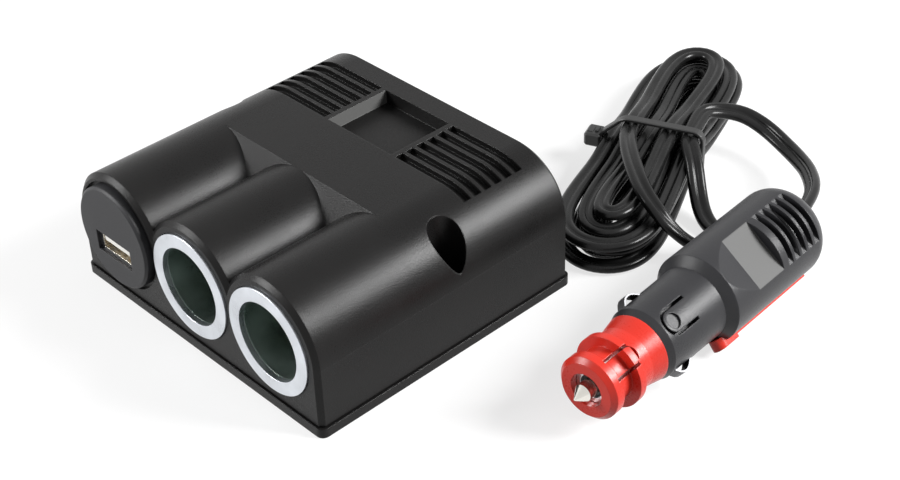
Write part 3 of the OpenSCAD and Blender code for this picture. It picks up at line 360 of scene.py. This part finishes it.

# %% [markdown]
# ## Grommet
# A rubber grommet holds the cord in the rear wall: two flanges with the wall
# between them, and a ribbed tail. Its half outline is turned about the
# outlet's axis.

# %% Turn the grommet
# Places along Y, each with its radius: first the two flanges, then one rib
FLANGES = [(38.2, 5.2), (38.4, 5.5), (39.5, 5.5), (39.7, 5.3), (39.75, 4.4), (42.35, 4.4),
           (42.4, 5.3), (42.6, 5.5), (43.7, 5.5), (43.9, 5.25)]
RIB = [(44.1, 3.75), (44.4, 4.3), (44.8, 4.3), (45.05, 3.7)]
# What each further rib adds to those places and takes off those radii
RIB_COUNT, RIB_PITCH, RIB_THINNER = 4, 1.15, (0.16, 0.22, 0.22, 0.16)
TAIL_R = 3.0
grommet_outline = FLANGES + [(y + RIB_PITCH * k, r - thinner * k) for k in range(RIB_COUNT)
                             for (y, r), thinner in zip(RIB, RIB_THINNER)]
grommet_outline.append((OUTLET.y, TAIL_R))


def new_piece(name, bm):
    """A finished piece at the origin, made from a bmesh."""
    bmesh.ops.recalc_face_normals(bm, faces=bm.faces)
    mesh = bpy.data.meshes.new(name)
    bm.to_mesh(mesh)
    bm.free()
    return as_piece(name, mesh)


def turned_shell(name, outline, at, sides=48):
    """A closed shell turned about the line along Y through a point."""
    bm = bmesh.new()
    ways = [2 * math.pi * k / sides for k in range(sides)]
    rings = [[bm.verts.new(Vector((at.x + r * math.cos(a), y, at.z + r * math.sin(a))) * MM)
              for a in ways] for y, r in outline]
    for one, two in zip(rings, rings[1:]):
        for k in range(sides):
            n = (k + 1) % sides
            bm.faces.new((one[k], one[n], two[n], two[k]))
    bm.faces.new(rings[0])
    bm.faces.new(rings[-1][::-1])
    return new_piece(name, bm)


grommet = turned_shell("cable_grommet_ribbed", grommet_outline, OUTLET)
print("grommet:", len(grommet.data.polygons), "faces")

# %% [markdown]
# ## Cable tie
# The tie lies round the hank's narrow waist. Its band follows a line with
# round corners drawn just outside the strands, and its head is a chamfered
# block. The small teeth on the inside of the band repeat along that line,
# which is work for Geometry Nodes: a tree resamples the line, sets a tooth on
# every point and turns it with the line.

# %% The line of the band
# Its place along the hank, width, thickness and cut edges
TIE_AT, TIE_W, TIE_T, TIE_CUT = -2.0, 2.5, 0.95, 0.22
# Corners of the line across the hank, each with its radius
TIE_CORNERS = [(-15.1, 1.15, 1.5), (13.3, 1.15, 1.5), (13.3, 14.75, 2.4),
               (-8.8, 14.75, 4.0), (-15.1, 8.9, 3.0)]
# The head, the pawl's cap on it and the cut end of the band, as corners and chamfer
TIE_BLOCKS = [((-19.9, -4.9, 5.3), (-15.0, 0.9, 9.5), 0.6),
              ((-19.3, -3.6, 9.3), (-17.6, -0.4, 9.75), 0.15),
              ((-17.1, -3.2, 4.9), (-16.1, -0.8, 10.1), 0.2)]
# A tooth along, across and into the band, and the step from one to the next
TOOTH = (0.45, 1.3, 0.3)
TOOTH_PITCH = 0.9


def rounded_line(corners, steps=7):
    """Points and outward directions along a closed line with round corners."""
    out = []
    for k, (x, z, r) in enumerate(corners):
        here, before, after = (Vector(corners[(k + j) % len(corners)][:2]) for j in (0, -1, 1))
        d1, d2 = (here - before).normalized(), (after - here).normalized()
        turn = d1.angle(d2)
        centre = here - r * math.tan(turn / 2) * d1 + r * Vector((-d1.y, d1.x))
        for j in range(steps + 1):
            c, s = math.cos(turn * j / steps), math.sin(turn * j / steps)
            out_way = Vector((d1.y * c + d1.x * s, d1.y * s - d1.x * c))
            out.append((centre + r * out_way, out_way))
    return out


tie_line = rounded_line(TIE_CORNERS)
print("line of the band:", len(tie_line), "points")


# %% Band and head
def chamfered_block(bm, low, high, cut):
    """A block with cut edges beside the hank, as the hull of its cut corners."""
    points = []
    for x, dx in ((low[0], cut), (high[0], -cut)):
        for y, dy in ((low[1], cut), (high[1], -cut)):
            for z, dz in ((low[2], cut), (high[2], -cut)):
                points += [(x, y + dy, z + dz), (x + dx, y, z + dz), (x + dx, y + dy, z)]
    bmesh.ops.convex_hull(bm, input=[bm.verts.new(beside_hank(*p) * MM) for p in points])


def tie_body():
    """The band as one closed shell, and each block of the head as another."""
    bm = bmesh.new()
    w, t, cut = TIE_W / 2, TIE_T, TIE_CUT
    outline = [(cut - w, 0), (w - cut, 0), (w, cut), (w, t - cut), (w - cut, t),
               (cut - w, t), (-w, t - cut), (-w, cut)]
    rings = [[bm.verts.new(beside_hank(p.x + n * way.x, TIE_AT + y, p.y + n * way.y) * MM)
              for y, n in outline] for p, way in tie_line]
    for k, ring in enumerate(rings):
        after = rings[(k + 1) % len(rings)]
        for j in range(len(outline)):
            i = (j + 1) % len(outline)
            bm.faces.new((ring[j], ring[i], after[i], after[j]))
    for low, high, chamfer in TIE_BLOCKS:
        chamfered_block(bm, low, high, chamfer)
    return new_piece("cable_tie_band", bm)


tie = tie_body()
print("tie:", len(tie.data.polygons), "faces")


# %% Teeth by Geometry Nodes
def toothed(name, line, finish, pitch, size, across):
    """Teeth of that size at every pitch of a closed line, turned with it."""
    mesh = bpy.data.meshes.new(name)
    mesh.from_pydata(line, [(k, (k + 1) % len(line)) for k in range(len(line))], [])
    holder = as_piece(name, mesh)
    tree = bpy.data.node_groups.new(name, "GeometryNodeTree")
    wanted = {"Line": "Geometry", "Pitch": "Float", "Tooth size": "Vector", "Across": "Vector",
              "Finish": "Material"}
    sockets = {key: tree.interface.new_socket(key, in_out="INPUT",
                                              socket_type="NodeSocket" + kind)
               for key, kind in wanted.items()}
    tree.interface.new_socket("Teeth", in_out="OUTPUT", socket_type="NodeSocketGeometry")
    kinds = {"start": "NodeGroupInput", "end": "NodeGroupOutput",
             "curve": "GeometryNodeMeshToCurve",
             "even": "GeometryNodeResampleCurve", "cube": "GeometryNodeMeshCube",
             "run": "GeometryNodeInputTangent", "along": "FunctionNodeAlignRotationToVector",
             "level": "FunctionNodeAlignRotationToVector", "set": "GeometryNodeInstanceOnPoints",
             "real": "GeometryNodeRealizeInstances", "paint": "GeometryNodeSetMaterial"}
    n = {key: tree.nodes.new(kind) for key, kind in kinds.items()}
    n["even"].mode = "LENGTH"
    n["along"].axis, n["level"].axis, n["level"].pivot_axis = "X", "Y", "X"
    for a, out, b, into in (
            ("start", "Line", "curve", "Mesh"), ("curve", "Curve", "even", "Curve"),
            ("start", "Pitch", "even", "Length"), ("start", "Tooth size", "cube", "Size"),
            ("run", "Tangent", "along", "Vector"), ("along", "Rotation", "level", "Rotation"),
            ("start", "Across", "level", "Vector"), ("even", "Curve", "set", "Points"),
            ("cube", "Mesh", "set", "Instance"), ("level", "Rotation", "set", "Rotation"),
            ("set", "Instances", "real", "Geometry"), ("real", "Geometry", "paint", "Geometry"),
            ("start", "Finish", "paint", "Material"), ("paint", "Geometry", "end", "Teeth")):
        tree.links.new(n[a].outputs[out], n[b].inputs[into])
    modifier = holder.modifiers.new("teeth", "NODES")
    modifier.node_group = tree
    for key, value in (("Pitch", pitch), ("Tooth size", size), ("Across", across),
                       ("Finish", finish)):
        modifier[sockets[key].identifier] = value
    made = holder.evaluated_get(bpy.context.evaluated_depsgraph_get())
    plain = bpy.data.meshes.new_from_object(made)
    holder.modifiers.clear()
    holder.data = plain
    return holder


# %% [markdown]
# ## Two small pieces of the CAD, copied
# The copy of the USB port's tongue reaches as far forward as in a real port.
# The spring under the centre pin is copied as a piece of its own.

# %% Copy the tongue and the pin's spring
TONGUE_FORWARD = 0.7
# The corners of the tongue's front lie within this distance of its tip
TONGUE_FRONT = 0.05


def copy_of(node, name):
    """A copy of a CAD node as a merged mesh at the origin."""
    mesh = node.data.copy()
    mesh.transform(node.matrix_world)
    mesh.name = name
    face_outwards(mesh)
    return as_piece(name, mesh)


tongue = copy_of(nodes["usb_tongue"], "usb_tongue_white")
tip = min(v.co.y for v in tongue.data.vertices)
for v in tongue.data.vertices:
    if v.co.y < tip + TONGUE_FRONT * MM:
        v.co.y -= TONGUE_FORWARD * MM
spring = copy_of(nodes["pin_spring"], "pin_spring_coil")
print(f"tongue {TONGUE_FORWARD} mm longer; spring of {len(spring.data.polygons)} faces")

# %% [markdown]
# ## Finishes
# Every surface gets a procedural finish. A small helper builds node trees
# from plain calls, so that each finish below reads as a recipe: a colour that
# varies a little, a roughness that varies with it, a fine grain as bump, and
# edges that are rubbed a little smoother than the faces; on the plastics the
# edges are also painted paler, partly as wear and partly as a painted highlight
# along the rims.


# %% A helper that writes node trees
def add_node(tree, kind, inputs=(), out=0, **settings):
    """Adds a shader node with those inputs and returns its output of that number or name."""
    node = tree.nodes.new("ShaderNode" + kind)
    for key, value in settings.items():
        setattr(node, key, value)
    for key, value in dict(inputs).items():
        put(tree, node.inputs[key], value)
    return node.outputs[out]


def put(tree, socket, value):
    """Links a socket to another one, or sets its value."""
    if isinstance(value, bpy.types.NodeSocket):
        tree.links.new(value, socket)
    else:
        socket.default_value = value


class Finish:
    """A material in the making, whose calls add nodes and return their outputs."""

    def __init__(self, name, **fixed):
        self.material = bpy.data.materials.new(name)
        self.material.use_nodes = True
        self.tree = self.material.node_tree
        self.shader = self.tree.nodes["Principled BSDF"]
        for key, value in fixed.items():
            self.shader.inputs[key.replace("_", " ")].default_value = value

    def add(self, kind, inputs=(), out=0, **settings):
        return add_node(self.tree, kind, inputs, out, **settings)

    def give(self, key, value):
        """Sets one input of the material's shader."""
        put(self.tree, self.shader.inputs[key], value)

    def place(self, at=(0, 0, 0), turned=(0, 0, 0)):
        """Object coordinates measured from a point and along turned axes."""
        coords = self.add("TexCoord", out="Object")
        return self.add("Mapping", {"Vector": coords, "Location": at, "Rotation": turned},
                        vector_type="TEXTURE")

    def split(self, vector):
        """The three numbers of a vector."""
        return list(self.add("SeparateXYZ", {0: vector}).node.outputs)

    def noise(self, vector, scale, detail=2.0, rough=0.5):
        return self.add("TexNoise", {"Vector": vector, "Scale": scale, "Detail": detail,
                                     "Roughness": rough})

    def ramp(self, value, low, high, at=(0.3, 0.7)):
        """A number that runs from low to high while value runs over at."""
        return self.add("MapRange", {"Value": value, 1: at[0], 2: at[1], 3: low, 4: high})

    def tint(self, factor, a, b):
        """A colour between a and b, each given as three numbers or as a socket."""
        a, b = (v if isinstance(v, bpy.types.NodeSocket) else (*v, 1) for v in (a, b))
        return self.add("Mix", {0: factor, 6: a, 7: b}, out=2, data_type="RGBA")

    def math(self, how, a, b=0.0):
        return self.add("Math", {0: a, 1: b}, operation=how)

    def edge_mask_and_normal(self, radius):
        """0 on flat faces, rising to 1 along edges, and the rounded normal itself."""
        rounded = self.add("Bevel", {"Radius": radius}, samples=4)
        true = self.add("NewGeometry", out="Normal")
        same = self.add("VectorMath", {0: rounded, 1: true}, out="Value", operation="DOT_PRODUCT")
        return self.ramp(same, 1.0, 0.0, at=(0.85, 0.995)), rounded

    def bump(self, height, depth, under=None):
        """A normal that height tilts, depth metres high, over another normal if given."""
        inputs = {"Height": height, "Distance": depth, "Strength": 1.0}
        if under is not None:
            inputs["Normal"] = under
        return self.add("Bump", inputs)


def shade(colour, factor):
    """The colour made darker or lighter, up to white."""
    return tuple(min(1.0, c * factor) for c in colour)


finishes = {}

# %% [markdown]
# ### Moulded plastics
# The box is satin black ABS with the fine pebbled grain of a spark-eroded
# mould. Three noises make it: a grain that catches the light, a finer fleck on
# it, and slow changes of tone, as where a hand has polished it.


# %% Recipe for a moulded plastic
def moulded(slot, colour, roughness, grain=0.35, depth=0.02, edge=0.4, pale=1.5, specular=0.5):
    """Plastic with grains of that size and depth in millimetres."""
    f = Finish(slot, Specular_IOR_Level=specular)
    coords = f.place()
    at_edges, rounded = f.edge_mask_and_normal(edge * MM)
    slow = f.noise(coords, 45, 3)
    pebble = f.noise(coords, 1 / (grain * MM), 3, 0.6)
    fleck = f.noise(coords, 3.1 / (grain * MM), 1)
    body = f.tint(f.ramp(slow, 0, 1), shade(colour, 0.86), shade(colour, 1.12))
    # Edges are painted paler by the factor pale: partly wear, partly a painted highlight along the
    # rims.
    worn_and_lit_edges = f.math("MULTIPLY", at_edges, f.ramp(pebble, 0.35, 1.0))
    f.give("Base Color", f.tint(worn_and_lit_edges, body, shade(colour, pale)))
    rough = f.math("ADD", f.ramp(slow, roughness - 0.05, roughness + 0.05),
                   f.ramp(pebble, -0.04, 0.06))
    f.give("Roughness", f.math("SUBTRACT", rough, f.math("MULTIPLY", at_edges, 0.08)))
    height = f.math("ADD", pebble, f.math("MULTIPLY", fleck, 0.35))
    f.give("Normal", f.bump(height, depth * MM, rounded))
    finishes[slot] = f.material
    return f


housing = moulded("housing_plastic", (0.0076, 0.0073, 0.0072), 0.3, depth=0.042, specular=0.15)
moulded("panel_plastic", (0.024, 0.024, 0.026), 0.45, grain=0.45, depth=0.03, specular=0.25)
plug = moulded("plug_plastic", (0.02, 0.02, 0.022), 0.34, grain=0.33, depth=0.036, specular=0.25)
moulded("tie_plastic", (0.014, 0.014, 0.014), 0.42, grain=0.5, depth=0.01, edge=0.15)
moulded("cord_rubber", (0.013, 0.013, 0.013), 0.5, grain=0.5, edge=0.2)
moulded("port_plastic", (0.82, 0.81, 0.77), 0.35, grain=0.4, edge=0.1, pale=1.05)
moulded("nose_bush", (0.015, 0.015, 0.015), 0.45, grain=0.5, edge=0.1)
moulded("insulator", (0.055, 0.03, 0.016), 0.5, grain=0.6, edge=0.15)
moulded("red_plastic", (0.53, 0.024, 0.013), 0.3, grain=0.7, depth=0.008, edge=0.3, pale=1.1,
        specular=0.3)
moulded("core_insulation", (0.5, 0.02, 0.015), 0.35, grain=0.5, edge=0.1)
print(len(finishes), "plastics")

# %% [markdown]
# ### Two paler faces
# The pad on the plug's handle and one wall of the recess are paler and
# rougher. On the wall the paler colour is a painted highlight, where the wall
# catches the light. A box in millimetres picks each face, so that one material
# still serves the whole piece.

# %% Make the pad and the wall paler
PLUG_AXIS = {"at": tuple(PLUG_AT * MM), "turned": (PLUG_ROLL, 0, PLUG_TURN)}
# Middle and half sizes of the thin boxes that hold the two faces, the first on the plug's axis
PAD = (62.3, 0, 9.61), (5.25, 8, 0.06)
# The wall's box holds a painted highlight: the wall is painted paler where it catches the light.
LIT_RECESS_WALL = (-12, 24.75, 34.4), (0.06, 10, 2)


def lightened(f, coords, box, colour, roughness):
    """Paler and rougher inside a box, given in millimetres by its middle and half sizes."""
    inside = [f.add("Math", {0: part, 1: middle * MM, 2: half * MM}, operation="COMPARE")
              for part, middle, half in zip(f.split(coords), *box)]
    mask = f.math("MULTIPLY", f.math("MULTIPLY", inside[0], inside[1]), inside[2])
    body, rough = (f.shader.inputs[key].links[0].from_socket
                   for key in ("Base Color", "Roughness"))
    f.give("Base Color", f.tint(mask, body, colour))
    f.give("Roughness", f.add("Mix", {0: mask, 2: rough, 3: roughness}, data_type="FLOAT"))


lightened(plug, plug.place(**PLUG_AXIS), PAD, (0.085, 0.085, 0.084), 0.55)
# Painted highlight: the recess wall is painted paler, as where it catches the light.
lightened(housing, housing.place(), LIT_RECESS_WALL, (0.1, 0.1, 0.098), 0.6)
print("pad and recess wall are blasted")

# %% [markdown]
# ### Cord jacket
# The jacket is soft black PVC, glossier than the box. Its gloss breaks up in
# long faint waves, because it is drawn through a die and then handled.

# %% Finish of the cord
jacket = Finish("cord_jacket", Specular_IOR_Level=0.2)
jacket_at = jacket.place()
waves = jacket.noise(jacket_at, 160, 3)
pores = jacket.noise(jacket_at, 2600, 2)
jacket.give("Base Color", jacket.tint(jacket.ramp(waves, 0, 1),
                                      (0.006, 0.006, 0.006), (0.011, 0.011, 0.011)))
jacket.give("Roughness", jacket.math("ADD", jacket.ramp(waves, 0.16, 0.28),
                                     jacket.ramp(pores, 0, 0.05)))
uneven = jacket.math("ADD", waves, jacket.math("MULTIPLY", pores, 0.1))
jacket.give("Normal", jacket.bump(uneven, 0.06 * MM))
finishes["cord_jacket"] = jacket.material
print("cord jacket:", len(jacket.tree.nodes), "nodes")

# %% [markdown]
# ### Metals
# Turned parts carry fine lines round an axis. The pattern measures how far a
# point is from that axis and how far along it, and stretches noise to match,
# so the same recipe serves a flat ring face and the wall of a bore.


# %% Recipe for turned and pressed metals
def turned_metal(slot, colour, roughness, at=(0, 0, 0), turned=(0, 0, 0), twin=0.0, lines=9000,
                 depth=0.004, edge=0.15, tarnish=0.8):
    """Metal with fine lines round the X axis of its own place.

    twin is the Y of a plane between two such axes. It mirrors the pattern, and the lines on
    each side of it run round the other side's axis, as wide arcs.
    """
    f = Finish(slot, Metallic=1.0)
    coords = f.place(at, turned)
    x, y, z = f.split(coords)
    if twin:
        y = f.math("SUBTRACT", f.math("ABSOLUTE", f.math("SUBTRACT", y, twin)), twin)
    radius = f.math("SQRT", f.math("ADD", f.math("MULTIPLY", y, y), f.math("MULTIPLY", z, z)))
    flat = f.add("CombineXYZ", {0: f.math("ADD", radius, x), 1: f.math("MULTIPLY", radius, 0.7)})
    grooves = f.noise(flat, lines, 1)
    slow = f.noise(coords, 120, 3)
    at_edges, rounded = f.edge_mask_and_normal(edge * MM)
    f.give("Base Color", f.tint(f.ramp(slow, 0, 1), shade(colour, tarnish), colour))
    f.give("Roughness", f.math("ADD", f.ramp(slow, roughness - 0.04, roughness + 0.06),
                               f.ramp(grooves, -0.03, 0.05)))
    f.give("Normal", f.bump(grooves, depth * MM, rounded))
    finishes[slot] = f.material


# Height of the sockets' axes above the floor, and the distance between them
SOCKET_Z, SOCKET_PITCH = 19.5, 30
# The middle socket's axis looks along Y, which turns X into -Y of that place
SOCKET_AXIS = {"at": (0, 0, SOCKET_Z * MM), "turned": (0, 0, math.pi / 2),
               "twin": -SOCKET_PITCH / 2 * MM}
turned_metal("bright_ring", (0.77, 0.8, 0.845), 0.3, lines=5000, edge=0.3, **SOCKET_AXIS)
turned_metal("sleeve_steel", (0.46, 0.55, 0.51), 0.3, **SOCKET_AXIS)
turned_metal("screw_steel", (0.5, 0.5, 0.5), 0.35)
turned_metal("contact_brass", (0.72, 0.50, 0.22), 0.3, **PLUG_AXIS)
turned_metal("copper_strip", (0.72, 0.36, 0.2), 0.35)
turned_metal("port_steel", (0.86, 0.82, 0.74), 0.22, edge=0.1)
turned_metal("gilt_contact", (0.9, 0.66, 0.28), 0.25, edge=0.05)
turned_metal("nose_steel", (0.78, 0.79, 0.8), 0.22, **PLUG_AXIS)
turned_metal("pin_brass", (0.78, 0.76, 0.7), 0.22, **PLUG_AXIS)
turned_metal("spring_steel", (0.13, 0.13, 0.135), 0.4, **PLUG_AXIS)
print(len(finishes), "finishes so far")

# %% [markdown]
# ### Small electrical parts
# The board, its parts and the fuse are hidden in normal use, yet a cut-away
# view or a pulled adapter shows them, so they are finished too.

# %% Board, parts and fuse
board = Finish("circuit_board", Specular_IOR_Level=0.5)
board_at = board.place()
weave = board.noise(board_at, 900, 2)
board.give("Base Color", board.tint(board.ramp(weave, 0, 1),
                                    (0.012, 0.09, 0.035), (0.02, 0.13, 0.05)))
board.give("Roughness", board.ramp(weave, 0.25, 0.4))
board.give("Normal", board.bump(weave, 0.01 * MM))
finishes["circuit_board"] = board.material
moulded("board_parts", (0.06, 0.06, 0.065), 0.4, grain=0.3, edge=0.15)

# The fuse's middle behind the pin's tip, and half the length of its glass between the caps
FUSE_AT, GLASS_HALF = 40, 9
glass = Finish("fuse_glass", Roughness=0.08, IOR=1.5, Specular_IOR_Level=0.5)
glass_at = glass.place(**PLUG_AXIS)
off_middle = glass.math("SUBTRACT", glass.split(glass_at)[0], FUSE_AT * MM)
cap = glass.math("GREATER_THAN", glass.math("ABSOLUTE", off_middle), GLASS_HALF * MM)
smear = glass.noise(glass_at, 300, 2)
glass.give("Base Color", glass.tint(cap, (0.75, 0.8, 0.8), (0.7, 0.7, 0.68)))
glass.give("Metallic", cap)
glass.give("Roughness", glass.ramp(smear, 0.06, 0.2))
glass.give("Normal", glass.bump(smear, 0.004 * MM))
finishes["fuse_glass"] = glass.material
print(len(finishes), "finishes in all")

# %% [markdown]
# ## Put the pieces together
# Each CAD node takes the finish that the frame's record names for it, and the
# pieces made above take theirs by hand. The teeth are made here, because their
# tree needs the tie's finish. Then every new piece is given the body that it
# rides with, and the CAD solids that the new pieces stand for are hidden.

# %% Give every CAD node its finish
slots = {part["node"]: part["material_slot"] for part in frame["record"]["subparts"]}
for name, node in nodes.items():
    for slot in node.material_slots:
        slot.material = finishes[slots[name]]
cord.data.materials.append(finishes["cord_jacket"])
grommet.data.materials.append(finishes["cord_rubber"])
tie.data.materials.append(finishes["tie_plastic"])
for piece, slot in ((tongue, "port_plastic"), (spring, "spring_steel")):
    piece.data.materials.clear()
    piece.data.materials.append(finishes[slot])
teeth_line = [tuple(beside_hank(p.x, TIE_AT, p.y) * MM) for p, way in tie_line]
teeth = toothed("cable_tie_teeth", teeth_line, finishes["tie_plastic"], TOOTH_PITCH * MM,
                [x * MM for x in TOOTH], (-math.sin(HANK_TURN), math.cos(HANK_TURN), 0))
print("teeth:", len(teeth.data.polygons), "faces")
print("finished", len(slots), "nodes")

# %% The cord rides with the box and replaces its three solids
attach(cord, "socket_unit")
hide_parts("cord_lead_out", "cord_hank", "cord_lead_plug")
for piece, slot in ((tie, "tie_plastic"), (teeth, "tie_plastic"), (grommet, "cord_rubber"),
                    (tongue, "port_plastic"), (spring, "spring_steel")):
    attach(piece, "socket_unit")
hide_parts("cable_tie")
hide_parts("cable_grommet")
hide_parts("usb_tongue")
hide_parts("pin_spring")
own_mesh(spring)

# %% [markdown]
# ## Floor and light
# A product photograph of a black object lives from large soft lights. The
# floor and the surroundings are white to the camera and in reflections, while
# they light the object like a dim grey room. Two lamps of ordinary strength
# stand where the curved tops and the front rims mirror them, so that each
# arch carries one long soft highlight.

# %% What the camera and reflections see is told apart from other light
# Half the floor's side and its height, in metres
FLOOR_HALF, FLOOR_Z = 0.8, -0.0002
PAPER_GREY, PAPER_GLOW = 0.28, 0.72
ROOM_STRENGTH, BACKDROP_STRENGTH = 0.25, 1.0


def seen(tree):
    """1 for rays from the camera, a glossy or a clear surface, and 0 for all others."""
    path = add_node(tree, "LightPath", out="Is Camera Ray").node
    bounced = add_node(tree, "Math", {0: path.outputs["Is Glossy Ray"],
                                      1: path.outputs["Is Transmission Ray"]},
                       operation="MAXIMUM")
    return add_node(tree, "Math", {0: path.outputs["Is Camera Ray"], 1: bounced},
                    operation="MAXIMUM")


# %% White floor that keeps a faint shadow
floor_mesh = bpy.data.meshes.new("floor")
floor_mesh.from_pydata([(x * FLOOR_HALF, y * FLOOR_HALF, FLOOR_Z)
                        for x, y in ((-1, -1), (1, -1), (1, 1), (-1, 1))], [], [(0, 1, 2, 3)])
floor = as_piece("floor", floor_mesh)
print("floor", 2 * FLOOR_HALF, "m wide")

paper = bpy.data.materials.new("floor_paper")
paper.use_nodes = True
tree = paper.node_tree
tree.nodes.clear()
power = add_node(tree, "Math", {0: seen(tree), 1: PAPER_GLOW}, operation="MULTIPLY")
glow = add_node(tree, "Emission", {"Strength": power})
matt = add_node(tree, "BsdfDiffuse", {"Color": (PAPER_GREY, PAPER_GREY, PAPER_GREY, 1)})
both = add_node(tree, "AddShader", {0: matt, 1: glow})
end = tree.nodes.new("ShaderNodeOutputMaterial")
tree.links.new(both, end.inputs["Surface"])
floor_mesh.materials.append(paper)

# %% Surroundings: white where they are seen, a dim room for everything else
world = bpy.data.worlds.new("studio")
world.use_nodes = True
scene.world = world
tree = world.node_tree
tree.nodes.clear()
room, backdrop = (add_node(tree, "Background", {"Color": (1, 1, 1, 1), "Strength": strength})
                  for strength in (ROOM_STRENGTH, BACKDROP_STRENGTH))
choice = add_node(tree, "MixShader", {0: seen(tree), 1: room, 2: backdrop})
end = tree.nodes.new("ShaderNodeOutputWorld")
tree.links.new(choice, end.inputs["Surface"])
print("room", ROOM_STRENGTH, "and backdrop", BACKDROP_STRENGTH)


# %% Soft boxes
# The lamps look at the middle of the object
TARGET = Vector((0.03, 0.03, 0.015))


def soft_box(name, at, size, watts):
    """A rectangular area lamp that looks at the object, in metres and watts."""
    data = bpy.data.lights.new(name, "AREA")
    data.shape = "RECTANGLE"
    data.size, data.size_y = size
    data.energy = watts
    lamp = as_piece(name, data)
    lamp.location = at
    lamp.rotation_mode = "QUATERNION"
    lamp.rotation_quaternion = (Vector(at) - TARGET).to_track_quat("Z", "Y")


soft_box("key", (-0.56, -0.64, 0.46), (0.4, 0.3), 9.0)
soft_box("rear", (0.62, 0.52, 0.52), (0.36, 0.36), 17.0)
print("lamps:", [light.name for light in bpy.data.lights])

scene.view_settings.view_transform = "Standard"
